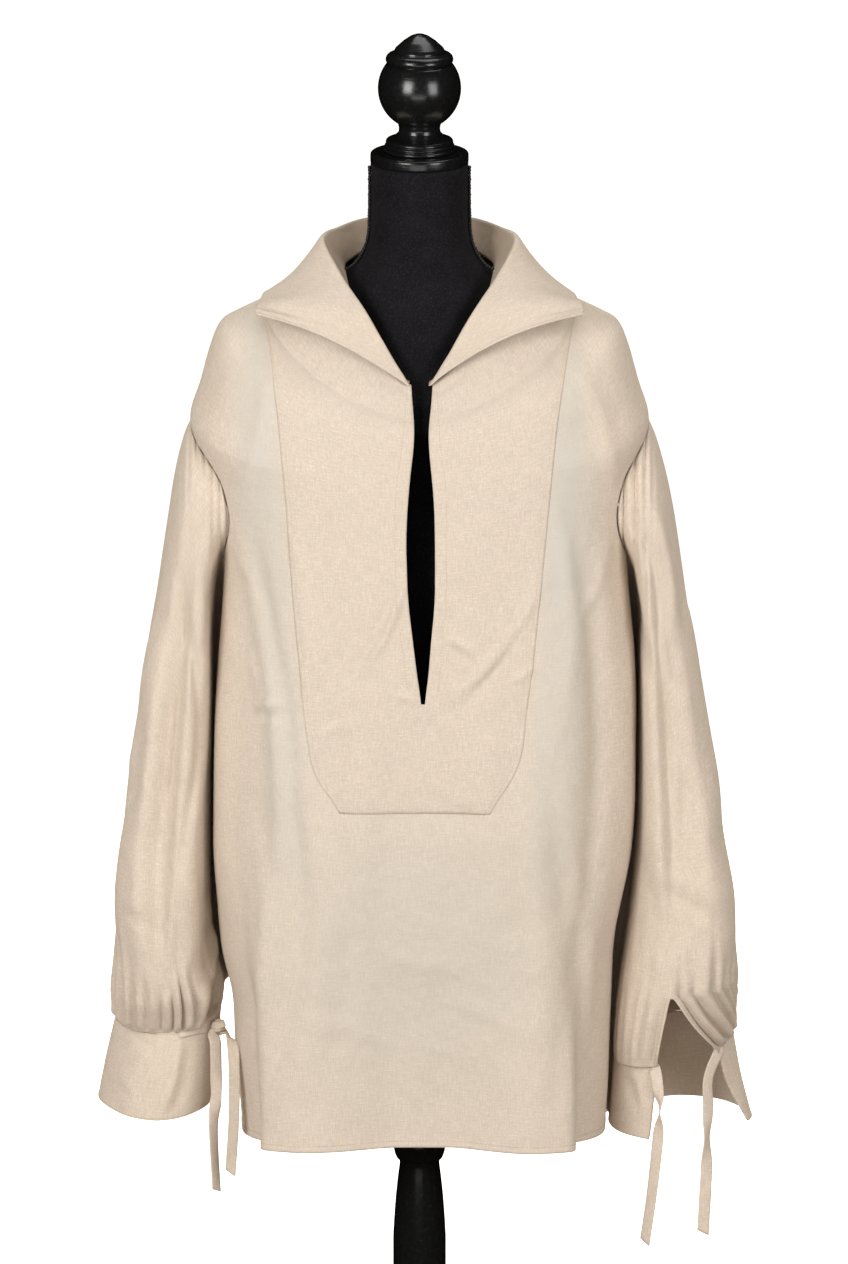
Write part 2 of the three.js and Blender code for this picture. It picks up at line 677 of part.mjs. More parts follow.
function tieGeometry({ cuff, start, path, width, across }) {
  const first = start.map((place) => (cuff
    ? onCuff(cuff, ...place, 1.5 * SEAM + TIE_CLOTH)
    : knotPlace.clone().add(new THREE.Vector3(...place))));
  const curve = new THREE.CatmullRomCurve3([...first, ...path.map((place) => new THREE.Vector3(...place))]);
  const count = 12;
  const margin = 0.002;
  const side = new THREE.Vector3(...across).normalize();
  const at = (u, v) => curve.getPoint(THREE.MathUtils.clamp(v, 0, 1)).addScaledVector(side, u * width / 2);
  const grid = steps(margin, 1 - margin, count).map((v) => [-1, 0, 1].map((u) => [u, v]));
  return clothWall({ at, grid, thickness: TIE_CLOTH, stepU: 0.2, stepV: margin });
}

function knotGeometry() {
  const geometry = new THREE.SphereGeometry(1, 12, 8);
  geometry.scale(...KNOT_SIZE);
  geometry.translate(...knotPlace.toArray());
  return geometry;
}

// The facing along the outer edge of the right sleeve's opening.
function facingGeometry() {
  const { at, side } = SLEEVE_SHAPES.right;
  const rows = SLEEVE_ROWS.filter((row) => row >= OPENING_TOP);
  const width = 1 / (SLEEVE_COLUMNS_ROUND - 1);
  const grid = rows.map((row) => [1 - width, 1].map((around) => [around, row]));
  const lift = BIB_CLOTH + SEAM;
  return clothWall({
    at, grid, thickness: BIB_CLOTH, lift, turned: side > 0, stepU: 0.004, stepV: 0.02,
  });
}

// The dress form is the tunic's plain inner shape, moved in: it touches the cloth at the shoulders
// and stands free of it lower down.
function formGeometry() {
  const columns = 28;
  const touch = CLOTH + 0.6;
  const rows = [
    [ROW.neck_top, 0], [ROW.neck_mid, 0], [ROW.neck_low, 0], [ROW.neck_bend, 0.2], [ROW.neckline, touch],
    [ROW.shoulder_in, touch], [ROW.shoulder_mid, touch + 2.8], [ROW.shoulder_out, touch + 5],
    [ROW.shoulder_turn, 12], [ROW.drop_high, 28], [ROW.armhole_top, 46], [ROW.armhole_high, 40],
    [ROW.underarm, 34],
    [ROW.chest, 38], [ROW.waist, 44], [ROW.hip, 38], [ROW.thigh, 34], [ROW.skirt_high, 36],
  ];
  const turns = steps(0, 360, columns).slice(0, columns);
  const positions = [];
  const indices = [];
  rows.forEach(([row, inset]) => {
    for (const turn of turns) {
      const angle = turn > 180 ? turn - 360 : turn;
      const normal = outwardNormal(bodyBase, angle, Math.max(row, 0.03), 0.5, 0.02, false);
      const free = row > ROW.neck_bend ? FORM_CLEAR * Math.abs(Math.cos(radians(angle))) : 0;
      const point = bodyBase(angle, row).addScaledVector(normal, -inset - free);
      positions.push(point.x, point.y, point.z);
    }
  });
  for (let i = 0; i < rows.length - 1; i += 1) {
    for (let j = 0; j < columns; j += 1) {
      const next = (j + 1) % columns;
      const [a, b] = [i * columns + j, i * columns + next];
      indices.push(a, a + columns, b, b, a + columns, b + columns);
    }
  }
  const ends = [[0, positions[2]], [rows.length - 1, FORM_BOTTOM]];
  for (const [line, height] of ends) {
    const centre = positions.length / 3;
    positions.push(0, 0, height);
    for (let j = 0; j < columns; j += 1) {
      const [a, b] = [line * columns + j, line * columns + (j + 1) % columns];
      if (line === 0) indices.push(centre, a, b);
      else indices.push(centre, b, a);
      positions[3 * a + 2] = height;
    }
  }
  return solid(positions, indices);
}

// The braided trim over each side seam of the form's neck.
const TRIM_RADIUS = 1.6;
const TRIM_CLEAR = 1.2;
const TRIM_ANGLE = 78;

function trimGeometry(side) {
  const places = steps(0.12, ROW.neckline - 0.16, 9).map((row) => {
    const normal = outwardNormal(bodyBase, side * TRIM_ANGLE, row, 0.5, 0.02, false);
    return bodyBase(side * TRIM_ANGLE, row).addScaledVector(normal, TRIM_RADIUS + TRIM_CLEAR);
  });
  const section = new THREE.Shape();
  section.absarc(0, 0, TRIM_RADIUS, 0, 2 * Math.PI, false);
  return new THREE.ExtrudeGeometry(section, {
    steps: 12, curveSegments: 3, extrudePath: new THREE.CatmullRomCurve3(places), bevelEnabled: false,
  });
}

// Turned pieces: radius and height pairs from the lowest to the highest, from axis to axis.
function turnedGeometry(profile, segments) {
  const geometry = new THREE.LatheGeometry(profile.map(([r, z]) => new THREE.Vector2(r, z)), segments);
  geometry.rotateX(Math.PI / 2);
  return geometry;
}

function ballProfile(low, high, count) {
  return steps(low, high, count).map((angle) => [
    BALL_RADIUS * Math.cos(radians(angle)), BALL_HEIGHT + BALL_RADIUS * Math.sin(radians(angle)),
  ]);
}

function finialGeometry() {
  const foot = CAP_TOP + SEAM;
  return turnedGeometry([
    [0, foot], [35, foot], [35.5, foot + 3], [33.5, foot + 4.5], [35, foot + 6], [34, foot + 9],
    [32.4, foot + 11.5], [25, foot + 15], [21, foot + 19.5], [20.5, foot + 23.5],
    ...ballProfile(-57, 34, 7),
    [31.5, 1589.4], [33.4, 1591.6], [33.8, 1594.4], [32.6, 1597.6], [29.5, 1600], [26, 1600.8],
    [25.4, 1602.4], [23.5, 1605], [15, 1612.2], [8, 1617.2], [4, 1619.4], [0, FINIAL_TOP],
  ], 18);
}

function capGeometry() {
  const foot = CAP_TOP - CAP_THICK;
  return turnedGeometry([
    [0, foot], [CAP_RADIUS - 1, foot], [CAP_RADIUS, foot + 1.5], [CAP_RADIUS, CAP_TOP - 1.5],
    [CAP_RADIUS - 1.5, CAP_TOP], [0, CAP_TOP],
  ], 28);
}

function postGeometry() {
  const foot = BASE_THICK + SEAM;
  const top = FORM_BOTTOM - SEAM;
  return turnedGeometry([
    [0, foot], [48, foot], [48, foot + 10], [38, foot + 20], [24, foot + 34], [20, foot + 60],
    [22, 170], [POST_RADIUS, 290], [POST_RADIUS, 385], [25.5, 403], [24, 424], [22, 444], [19.5, 463],
    [23, 465], [26, 474], [26, 484], [20, 492], [17, 500], [17, top], [0, top],
  ], 16);
}

function baseGeometry() {
  return turnedGeometry([
    [0, 0], [BASE_RADIUS - 4, 0], [BASE_RADIUS, 4], [BASE_RADIUS, 14], [BASE_RADIUS - 8, BASE_THICK - 4],
    [BASE_RADIUS - 20, BASE_THICK], [0, BASE_THICK],
  ], 32);
}

addPiece('front', frontGeometry(), linen());
addPiece('back', backGeometry(), linen());
addPiece('bib', bibGeometry(), linen());
addPiece('collar', collarGeometry(), linen());
addPiece('sleeve_left', sleeveGeometry(SLEEVE_SHAPES.left), linen());
addPiece('sleeve_right', sleeveGeometry(SLEEVE_SHAPES.right), linen());
addPiece('sleeve_facing', facingGeometry(), linen());
addPiece('cuff_left', cuffGeometry(CUFFS.left), linen());
addPiece('cuff_right', cuffGeometry(CUFFS.right), linen());
for (const [name, tie] of Object.entries(TIES)) addPiece(name, tieGeometry(tie), linen());
addPiece('tie_left_knot', knotGeometry(), linen());
addPiece('form', formGeometry(), jersey());
addPiece('trim_left', trimGeometry(-1), jersey());
addPiece('trim_right', trimGeometry(1), jersey());
addPiece('neck_cap', capGeometry(), blackWood());
addPiece('finial', finialGeometry(), blackWood());
addPiece('post', postGeometry(), blackWood());
addPiece('base', baseGeometry(), blackWood());

export default tunic;
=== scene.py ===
import math

import bpy
import numpy as np
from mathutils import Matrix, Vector


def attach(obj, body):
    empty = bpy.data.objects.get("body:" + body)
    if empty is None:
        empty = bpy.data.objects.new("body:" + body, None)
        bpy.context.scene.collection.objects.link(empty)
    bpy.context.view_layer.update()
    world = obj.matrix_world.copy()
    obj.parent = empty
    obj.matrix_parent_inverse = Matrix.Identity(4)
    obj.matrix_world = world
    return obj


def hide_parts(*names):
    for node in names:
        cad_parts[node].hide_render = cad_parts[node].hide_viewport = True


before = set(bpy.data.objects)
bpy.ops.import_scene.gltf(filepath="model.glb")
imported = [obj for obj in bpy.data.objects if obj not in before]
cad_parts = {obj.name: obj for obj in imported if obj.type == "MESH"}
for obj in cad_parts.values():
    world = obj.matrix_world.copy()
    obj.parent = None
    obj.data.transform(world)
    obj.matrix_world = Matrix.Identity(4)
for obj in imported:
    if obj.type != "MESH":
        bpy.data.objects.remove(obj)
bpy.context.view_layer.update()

# Every size below is in millimetres and becomes metres where a mesh is made.
MM = 0.001

# Driving sizes of the cloth. A lift is the height of an outer face over the points it is made from.
CLOTH = 1.1
BIB_CLOTH = 0.6
BIB_LIFT = 0.8
COLLAR_CLOTH = 1.2
CUFF_CLOTH = 1.9
SEAM = 0.4
ARMHOLE_SEAM = 1.2
ARMHOLE_RADIUS = 70
ARMHOLE_SWING = 30
TIE_WIDTH = 12
TIE_CLOTH = 0.9
HEM_DEPTH = 8.0
HEM_OUT = 0.7
HEM_STITCH_IN = 1.2
HEM_HEIGHT = 500
BIB_MARGIN = 8

# Driving sizes of the stand.
FINIAL_TOP = 1620
BALL_RADIUS = 41.5
BALL_HEIGHT = 1564.4
CAP_RADIUS = 49
CAP_TOP = 1500
CAP_THICK = 11
FORM_TOP = 1488.4
FORM_BOTTOM = 662
FORM_CLEAR = 14
POST_RADIUS = 26.5
BASE_RADIUS = 190
BASE_THICK = 24
TRIM_ANGLE = 82
TRIM_LIFT = 1.5

# Rings of the form and of the body of the tunic, from the neck to the hem: half width and shift to the
# right, depths to the front and back, heights at the side, front and back, and how square the ring is.
RING_COLUMNS = ("half", "shift", "front", "back", "side", "fore", "aft", "square")
RINGS = {
    "neck_top": (48.8, 0, 51, 49, FORM_TOP, FORM_TOP, FORM_TOP, 2),
    "neck_mid": (48.9, 0, 53, 51, 1440, 1438, 1442, 2),
    "neck_low": (51, 0, 58, 54, 1412, 1400, 1417, 2),
    "neck_bend": (61, 0, 78, 60, 1392, 1345, 1402, 2.1),
    "neckline": (76, 0, 99, 66, 1382, 1283, 1391, 2.2),
    "shoulder_in": (112, 0, 107, 84, 1368, 1268, 1357, 2.3),
    "shoulder_mid": (150, 0, 111, 97, 1351, 1255, 1326, 2.4),
    "shoulder_out": (182, 0, 115, 105, 1336, 1243, 1300, 2.5),
    "shoulder_turn": (198, 0, 118, 109, 1326, 1233, 1281, 2.55),
    "drop_high": (208, 0, 120, 111, 1304, 1219, 1258, 2.6),
    "drop_low": (218.5, 0, 122, 112, 1266, 1203, 1232, 2.6),
    "armhole_top": (229, 0, 124, 113, 1226, 1186, 1202, 2.6),
    "armhole_high": (215, 2, 126, 113, 1184, 1160, 1168, 2.65),
    "armhole_low": (206, 4, 128, 113, 1135, 1123, 1127, 2.7),
    "underarm": (202, 6, 130, 113, 1085, 1078, 1080, 2.8),
    "chest": (205, 6.5, 133, 114, 1000, 997, 998, 2.9),
    "waist": (206.5, 4.5, 135, 116, 915, 914, 914, 3),
    "hip": (206.5, 3.5, 136, 120, 830, 830, 830, 3),
    "thigh": (202, -1, 130, 121, 745, 746, 745, 3),
    "skirt_high": (197, -2, 124, 120, 690, 692, 690, 3),
    "skirt_mid": (190.5, 2.5, 117, 117, 640, 642, 640, 3),
    "skirt_low": (188, 3, 112, 115, 590, 593, 590, 3),
    "skirt_foot": (185, 4, 108, 113, 543, 546, 543, 3),
    "hem": (182, 4, 106, 112, 500, 503, 500, 3),
}
ROW = {name: index for index, name in enumerate(RINGS)}

# Long folds. Angles run round in degrees; a fold rises from edge to ridge and falls from crest to foot.
FOLD_COLUMNS = ("edge", "ridge", "crest", "foot", "top", "bottom", "out", "lean")
BODY_FOLDS = {
    "left_lap": (-52, -42, -34, -8, 860, 500, 34, 0),
    "right_lap": (48, 38, 30, 8, 860, 500, 36, 0),
    "left_edge": (-82, -68, -64, -52, 1150, 700, 7, 0),
    "right_edge": (86, 70, 66, 54, 1130, 690, 8, 0),
    "left_drape": (-50, -40, -38, -26, 1190, 760, 5, 6),
    "right_drape": (52, 42, 38, 24, 1210, 740, 6, -8),
    "left_chest": (-24, -15, -14, -5, 1010, 700, 4, -5),
    "right_chest": (5, 13, 15, 24, 1000, 680, 5, 6),
    "back_first": (108, 117, 121, 132, 1180, 500, 13, 0),
    "back_second": (134, 143, 147, 158, 1240, 500, 12, 3),
    "back_third": (160, 170, 174, 186, 1290, 500, 15, 0),
    "back_fourth": (190, 200, 203, 215, 1260, 500, 13, -2),
    "back_fifth": (222, 232, 236, 250, 1200, 500, 13, 0),
}

# Creases of the front, each a soft ridge (out above 0) or trough between two places.
CREASE_COLUMNS = ("x1", "z1", "x2", "z2", "width", "out")
FRONT_CREASES = {
    "slit_left": (-14, 1092, -68, 986, 4, 3.6),
    "slit_left_below": (-24, 1088, -76, 986, 5, -2.7),
    "slit_right": (24, 1034, 58, 1014, 4, 2.7),
    "slit_right_below": (28, 1022, 56, 1004, 5, -1.8),
    "long_right": (118, 1084, 34, 970, 6, 3.9),
    "long_right_below": (108, 1066, 36, 958, 7, -2.7),
    "bib_right": (112, 1004, 88, 986, 4, 2.4),
    "slit_foot": (-24, 976, 0, 966, 3.5, 2.4),
    "side_short": (-163, 951, -136, 965, 3.5, 3.6),
    "side_short_below": (-158, 943, -132, 955, 4, -3.6),
    "side_fork": (-168, 1002, -160, 948, 4, 2.1),
    "bib_low_left": (-106, 930, -60, 946, 6, 1.5),
    "bib_low_right": (96, 918, 50, 936, 6, 1.4),
    "left_shoulder": (-150, 1300, -192, 1150, 9, 3.0),
    "right_shoulder": (158, 1300, 196, 1150, 9, 3.0),
    "left_long": (-180, 1130, -156, 640, 8, 3.6),
    "left_long_trough": (-164, 1120, -141, 660, 7, -3.4),
    "right_long": (172, 1150, 156, 620, 9, 3.6),
    "right_long_trough": (156, 1120, 140, 640, 8, -3.4),
    "skirt_left": (-118, 900, -122, 520, 11, 3.0),
    "skirt_left_mid": (-88, 860, -92, 520, 11, -2.4),
    "skirt_mid": (-16, 800, -10, 520, 16, 1.8),
    "skirt_mid_right": (48, 820, 52, 520, 14, -2.0),
    "skirt_right": (96, 900, 92, 520, 12, 3.2),
    "left_grey_ridge": (-128, 1150, -120, 900, 8, 2.2),
    "right_grey_ridge": (134, 1180, 124, 880, 8, 2.4),
    "left_hip_trough": (-130, 900, -136, 540, 8, -3.0),
    "right_hip_trough": (124, 900, 118, 540, 9, -3.2),
    "left_side_low": (-160, 820, -166, 540, 7, 3.0),
    "right_side_low": (150, 820, 156, 560, 8, 2.8),
    "left_pull": (-190, 1120, -156, 1050, 5, 1.3),
    "right_pull": (190, 1130, 156, 1040, 5, 2.0),
    "low_left": (-96, 640, -20, 600, 9, 1.7),
    "low_right": (30, 660, 110, 610, 9, 1.5),
    "low_mid": (-40, 700, 40, 690, 10, 1.4),
}
BACK_CREASES = {
    "yoke_left": (-150, 1290, -60, 1200, 14, 2.0),
    "yoke_right": (140, 1300, 70, 1190, 14, 1.8),
    "long_left": (-90, 1180, -110, 700, 16, 2.0),
    "long_mid": (8, 1240, -6, 620, 18, -1.8),
    "long_right": (96, 1160, 112, 640, 16, 2.2),
    "low_left": (-140, 760, -60, 700, 12, 1.6),
    "low_right": (60, 720, 150, 690, 12, -1.4),
}

# The open neck slit and the bib: rows of height, left edge and right edge.
SLIT = (
    (1290, -9, 13), (1273, -7.5, 13.5), (1252, -5.5, 9.5), (1232, -4.5, 8.5), (1212, -7.5, 10.5),
    (1172, -11.5, 14.5), (1131, -13.5, 15.5), (1070, -11.5, 15.5), (1029, -6.5, 11.5), (988, -1.5, 8.5),
    (966, 2.4, 4.6), (500, 3.1, 3.9),
)
SLIT_FOOT = 964
BIB = (
    (1345, -156, 156), (1309, -147.5, 147.5), (1252, -141.5, 138.5), (1041, -121.5, 115.5),
    (1008, -117.5, 112.5), (956, -113, 105.5), (913, -108.5, 102), (890, -103.5, 93),
    (869, -90.5, 78), (854, -74.5, 64.5),
)
BIB_FOOT = 854

# The collar: for each angle round the neckline, where it rolls over and its outer edge.
COLLAR_COLUMNS = ("angle", "rollX", "rollY", "rollZ", "edgeX", "edgeY", "edgeZ", "swell")
COLLAR = (
    (180, 0, 80, 1419, 0, 117, 1341, 6),
    (152, 49, 69, 1418, 74, 110, 1341, 5),
    (122, 80, 39, 1415, 121, 72, 1347, 2),
    (94, 97, 4, 1411, 150, 6, 1356, -4),
    (66, 79, -46, 1385, 158, -34, 1356, 1),
    (46, 53, -82, 1354, 162, -55, 1355, 6),
    (29, 31.5, -98, 1319, 164, -69, 1355, 7),
    (16, 17.5, -103.2, 1296, 164, -78, 1354, 6),
    (8, 10, -104.4, 1284, 163, -84, 1353, 5),
)

# Rings of a sleeve from the armhole to the cuff, then of the cuffs.
SLEEVE_COLUMNS = ("outX", "outZ", "inX", "inZ", "depth", "dip")
LEFT_SLEEVE = {
    "armhole": (229, 1226, 200, 1085, 70, 0),
    "crown": (240, 1196, 204, 1060, 82, 0),
    "upper_arm": (252, 1123, 206.5, 1003, 84, 0),
    "above_elbow": (264, 1041, 207, 945, 82, 0),
    "elbow": (279, 940, 208, 880, 80, 0),
    "forearm": (292, 835, 209, 800, 80, 0),
    "full": (302, 752, 209, 735, 82, 0),
    "drop": (304.5, 692, 206, 690, 80, 4),
    "turn": (304.5, 652, 198, 657, 72, 8),
    "gather": (303.5, 632, 197, 639, 60, 12),
    "seam": (304, 617, 199, 623, 50, 13),
}
RIGHT_SLEEVE = {
    "armhole": (229, 1226, 212, 1085, 70, 0),
    "crown": (240.5, 1196, 217, 1060, 82, 0),
    "upper_arm": (255.5, 1123, 218.5, 1003, 84, 0),
    "above_elbow": (267.5, 1041, 218.5, 945, 82, 0),
    "elbow": (282, 940, 218, 880, 80, 0),
    "forearm": (297, 835, 216, 800, 80, 0),
    "full": (309, 752, 211, 730, 82, 0),
    "drop": (317, 688, 204.5, 680, 82, 4),
    "turn": (316, 645, 199.5, 642, 76, 8),
    "gather": (314.5, 620, 196, 605, 66, 11),
    "seam": (314, 600.5, 194.5, 577, 55, 13),
}
LEFT_SLEEVE_FOLDS = {
    "outer_lobe": (18, 38, 58, 80, 1150, 640, 13, 0),
    "inner_lobe": (88, 100, 116, 142, 1160, 650, 15, 0),
    "back_outer": (232, 250, 262, 284, 1150, 640, 9, 4),
    "back_inner": (292, 308, 318, 338, 1120, 640, 7, -4),
}
RIGHT_SLEEVE_FOLDS = {
    "outer_lobe": (12, 34, 54, 80, 1160, 640, 12, 0),
    "inner_lobe": (92, 104, 120, 144, 1160, 700, 13, 6),
    "back_outer": (230, 248, 260, 282, 1150, 640, 9, -4),
    "back_inner": (290, 306, 318, 340, 1120, 640, 8, 4),
}
# Creases of the sleeves' fronts, by distance from the middle and height.
LEFT_SLEEVE_CREASES = {
    "lobe_split": (-240, 1090, -246, 780, 5, -6.5),
    "lobe_ridge": (-230, 1080, -234, 800, 7, 3.4),
    "outer_long": (-264, 1030, -284, 780, 9, 3.2),
    "outer_trough": (-276, 980, -294, 800, 6, -3.0),
    "high_first": (-214, 1150, -222, 1000, 4, -3.4),
    "high_second": (-226, 1160, -232, 980, 4, 3.0),
    "high_third": (-236, 1170, -246, 1020, 5, -2.6),
    "outer_second": (-252, 1060, -262, 800, 7, -2.6),
    "outer_low": (-278, 800, -282, 660, 7, 3.0),
    "middle_low": (-252, 790, -250, 650, 7, -3.2),
    "inner_second": (-232, 790, -236, 660, 6, 3.0),
    "elbow_left": (-286, 900, -262, 866, 7, 1.3),
    "elbow_right": (-262, 880, -232, 850, 6, -2.6),
    "low_cross": (-290, 754, -262, 724, 7, 1.6),
    "low_cross_trough": (-290, 742, -256, 712, 6, -2.5),
    "inner_low": (-226, 780, -214, 700, 6, -2.4),
    "notch": (-214, 700, -202, 722, 5, -2.6),
    "lap_ridge": (-207, 744, -227, 602, 6, 6.0),
    "lap_trough": (-195, 732, -214, 602, 7, -12.0),
}
RIGHT_SLEEVE_CREASES = {
    "boundary": (212, 1062, 243, 830, 7, -4.5),
    "boundary_ridge": (226, 1062, 254, 830, 7, 3.2),
    "outer_long": (268, 1050, 286, 820, 8, 3.0),
    "outer_trough": (280, 980, 296, 790, 7, -3.2),
    "high_first": (222, 1150, 232, 990, 4, -3.4),
    "high_second": (234, 1160, 246, 1000, 4, 3.0),
    "high_third": (246, 1150, 258, 1010, 5, -2.6),
    "middle_long": (250, 1040, 266, 800, 8, -2.8),
    "outer_low": (290, 790, 300, 660, 8, 3.0),
    "inner_low": (226, 800, 226, 660, 8, -2.8),
    "elbow_cross": (232, 900, 276, 868, 7, 2.4),
    "low_cross": (236, 780, 300, 742, 8, 2.6),
    "low_cross_trough": (240, 764, 296, 726, 7, -2.4),
    "slit_left": (246, 664, 232, 760, 8, 1.8),
    "slit_right": (256, 664, 286, 740, 8, 1.6),
    "under_short": (196, 1098, 202, 1090, 3, -1.4),
}
OPENING_TOP = 7.6
OPENING_ANGLES = {"top": 97, "outer": 47, "inner": 105, "joined": 0.6}
LEFT_CUFF = {
    "seam": (304, 617.4, 199, 623.4, 50, 13),
    "middle": (314, 574, 202, 575, 56, 12),
    "edge": (322.5, 530.5, 209, 527.5, 58, 11),
}
RIGHT_CUFF = {
    "seam": (314, 601, 194.5, 577.5, 55, 13),
    "middle": (322, 554, 192.5, 540, 60, 12),
    "edge": (333.5, 508.5, 189.5, 503, 64, 8),
}
LEFT_CUFF_CREASES = {
    "bend": (-240, 600, -262, 518, 4, 2.0),
    "bend_right": (-230, 602, -250, 518, 7, -2.6),
    "dent": (-300, 606, -268, 590, 4, -1.0),
    "dent_low": (-306, 560, -286, 545, 6, 0.9),
}
RIGHT_CUFF_CREASES = {
    "inner": (206, 560, 216, 520, 5, -1.6),
    "inner_ridge": (214, 566, 224, 522, 5, 1.2),
    "outer": (306, 570, 318, 520, 6, -1.4),
}
CUFF_SQUARE = 1.75
RIGHT_CUFF_ENDS = {"seam": (45, 106), "edge": (12, 118)}


def radians(degrees):
    return np.radians(degrees)


def smooth(low, high, value):
    t = np.clip((np.asarray(value, float) - low) / (high - low), 0, 1)
    return t * t * (3 - 2 * t)


def lerp(a, b, t):
    return a + (b - a) * t


def table_reader(rows, columns):
    """Reads a table by a running row number, with a smooth curve through the rows."""
    values = np.array(list(rows), float)
    last = len(values) - 1

    def read(row):
        place = np.clip(np.asarray(row, float), 0, last)
        first = np.minimum(np.floor(place).astype(int), last - 1)
        t = (place - first)[..., None]
        pick = lambda index: values[np.clip(index, 0, last)]
        start, end = pick(first), pick(first + 1)
        slope_in = (end - pick(first - 1)) / 2
        slope_out = (pick(first + 2) - start) / 2
        change = end - start
        found = (start + t * slope_in + t**2 * (3 * change - 2 * slope_in - slope_out)
                 + t**3 * (slope_in + slope_out - 2 * change))
        return {name: found[..., index] for index, name in enumerate(columns)}

    return read


def edge_reader(table):
    """Reads a table of edges by height, softly bent at its rows, which fall."""
    rows = np.array(table, float)[::-1]

    def read(height):
        near = [np.asarray(height, float) + shift for shift in (-16, -8, 0, 8, 16)]
        return [sum(np.interp(h, rows[:, 0], rows[:, side]) for h in near) / 5 for side in (1, 2)]

    return read


read_ring = table_reader(RINGS.values(), RING_COLUMNS)
read_slit = edge_reader(SLIT)
read_bib = edge_reader(BIB)


def fold_height(folds, angle, height):
    """How far a list of long folds lifts the cloth at an angle and height."""
    total = 0
    for values in folds.values():
        fold = dict(zip(FOLD_COLUMNS, values))
        along = np.clip((fold["top"] - height) / (fold["top"] - fold["bottom"]), 0, 1)
        shift = fold["lean"] * along
        rise = smooth(0, 1, (angle - fold["edge"] - shift) / (fold["ridge"] - fold["edge"]))
        fall = smooth(0, 1, (fold["foot"] + shift - angle) / (fold["foot"] - fold["crest"]))
        runs_out = fold["bottom"] <= HEM_HEIGHT
        fade_in = smooth(0, 1.1 if runs_out else 0.45, along)
        fade_out = 1 if runs_out else 1 - smooth(0.75, 1, along)
        total = total + fold["out"] * rise * fall * fade_in * fade_out
    return total


def crease_height(creases, x, z):
    """How far a list of creases lifts the cloth at a place."""
    total = 0
    for values in creases.values():
        crease = dict(zip(CREASE_COLUMNS, values))
        run = np.array([crease["x2"] - crease["x1"], crease["z2"] - crease["z1"]], float)
        length = np.hypot(*run)
        dx, dz = x - crease["x1"], z - crease["z1"]
        along = (dx * run[0] + dz * run[1]) / length**2
        bend = 0.06 * length * np.sin(np.pi * np.clip(along, 0, 1))
        across = (dx * run[1] - dz * run[0]) / length + bend
        envelope = smooth(-0.12, 0.3, along) * (1 - smooth(0.6, 1.12, along))
        total = total + crease["out"] * envelope * np.exp(-((across / crease["width"]) ** 2))
    return total


def uneven_wave(around, count, seed):
    """Round pleats with pinched valleys, uneven in spacing and height, from -1 to 1."""
    turn = 2 * np.pi * around
    phase = 1.1 * np.sin(3 * turn + seed) + 0.7 * np.sin(5 * turn + 1.7 * seed)
    phase = phase + 0.4 * np.sin(8 * turn + 2.3 * seed)
    height = 0.76 + 0.24 * np.sin(4 * turn + 2.9 * seed)
    return height * (2 * np.abs(np.cos((count * turn + phase) / 2)) ** 0.8 - 1)


def falling_pleats(x, seed):
    """Pleats that hang straight down, by distance across, uneven in pitch and height, from -1 to 1."""
    phase = 2 * np.pi * x / 8.4 + 1.3 * np.sin(x / 10.7 + seed) + 0.8 * np.sin(x / 5.9 + 2.1 * seed)
    height = 0.64 + 0.36 * np.sin(x / 9.3 + 1.7 * seed)
    return height * (2 * np.abs(np.cos(phase / 2)) ** 0.7 - 1)


def round_off(sine, cosine, square):
    """What a circle's direction is divided by to reach a rounded square; 2 keeps the circle."""
    return (np.abs(sine) ** square + np.abs(cosine) ** square) ** (1 / square)


def body_base(angle, row):
    """A point of the plain rings of the body: 0 degrees is the middle of the front, 90 the right side."""
    ring = read_ring(row)
    sine, cosine = np.sin(radians(angle)), np.cos(radians(angle))
    norm = round_off(sine, cosine, ring["square"])
    depth = np.where(cosine > 0, ring["front"], ring["back"])
    level = np.where(cosine > 0, ring["fore"], ring["aft"])
    return np.stack([
        ring["shift"] + ring["half"] * sine / norm,
        -depth * cosine / norm,
        ring["side"] + (level - ring["side"]) * cosine**2,
    ], -1)


def body_point(angle, row):
    """A point of the body of the tunic, with its folds and creases."""
    angle, row = np.broadcast_arrays(np.asarray(angle, float), np.asarray(row, float))
    point = body_base(angle, row)
    turned = np.where(angle < -95, angle + 360, angle)
    sine, cosine = np.sin(radians(angle)), np.cos(radians(angle))
    x, z = point[..., 0], point[..., 2]
    lift = fold_height(BODY_FOLDS, turned, z)
    front = smooth(-0.05, 0.25, cosine)
    back = smooth(0.0, 0.3, -cosine)
    lift = lift + front * crease_height(FRONT_CREASES, x, z) + back * crease_height(BACK_CREASES, x, z)
    lift = lift + 0.5 * smooth(ROW["shoulder_mid"], ROW["chest"], row) * (
        np.sin(x / 21 + 0.7 * np.sin(z / 61)) * np.sin(z / 83 + x / 57))
    point[..., 0] += lift * sine
    point[..., 1] -= lift * cosine
    return point


def solve(low, high, too_low, count=28):
    """The place between two arrays of limits where too_low turns false."""
    low, high = np.array(low, float), np.array(high, float)
    for _ in range(count):
        middle = (low + high) / 2
        below = too_low(middle)
        low, high = np.where(below, middle, low), np.where(below, high, middle)
    return (low + high) / 2


def angle_at_x(x, row):
    """The angle at which the front of a row reaches a distance to the right."""
    ends = np.full(np.shape(row), 90.0)
    return solve(-ends, ends, lambda middle: body_base(middle, row)[..., 0] < x)


def row_at_height(height):
    return float(solve(ROW["neckline"], ROW["hem"], lambda row: read_ring(row)["fore"] > height))


def armhole_row(turn, scale=1):
    """The body's row on the armhole at a turn from its top (0) over the front (90) to its foot (180)."""
    span = ROW["underarm"] - ROW["armhole_top"]
    return ROW["armhole_top"] + span * (1 - scale * np.cos(radians(turn))) / 2


def armhole_angle(turn, scale=1):
    return 90 - scale * ARMHOLE_SWING * np.sin(radians(turn))


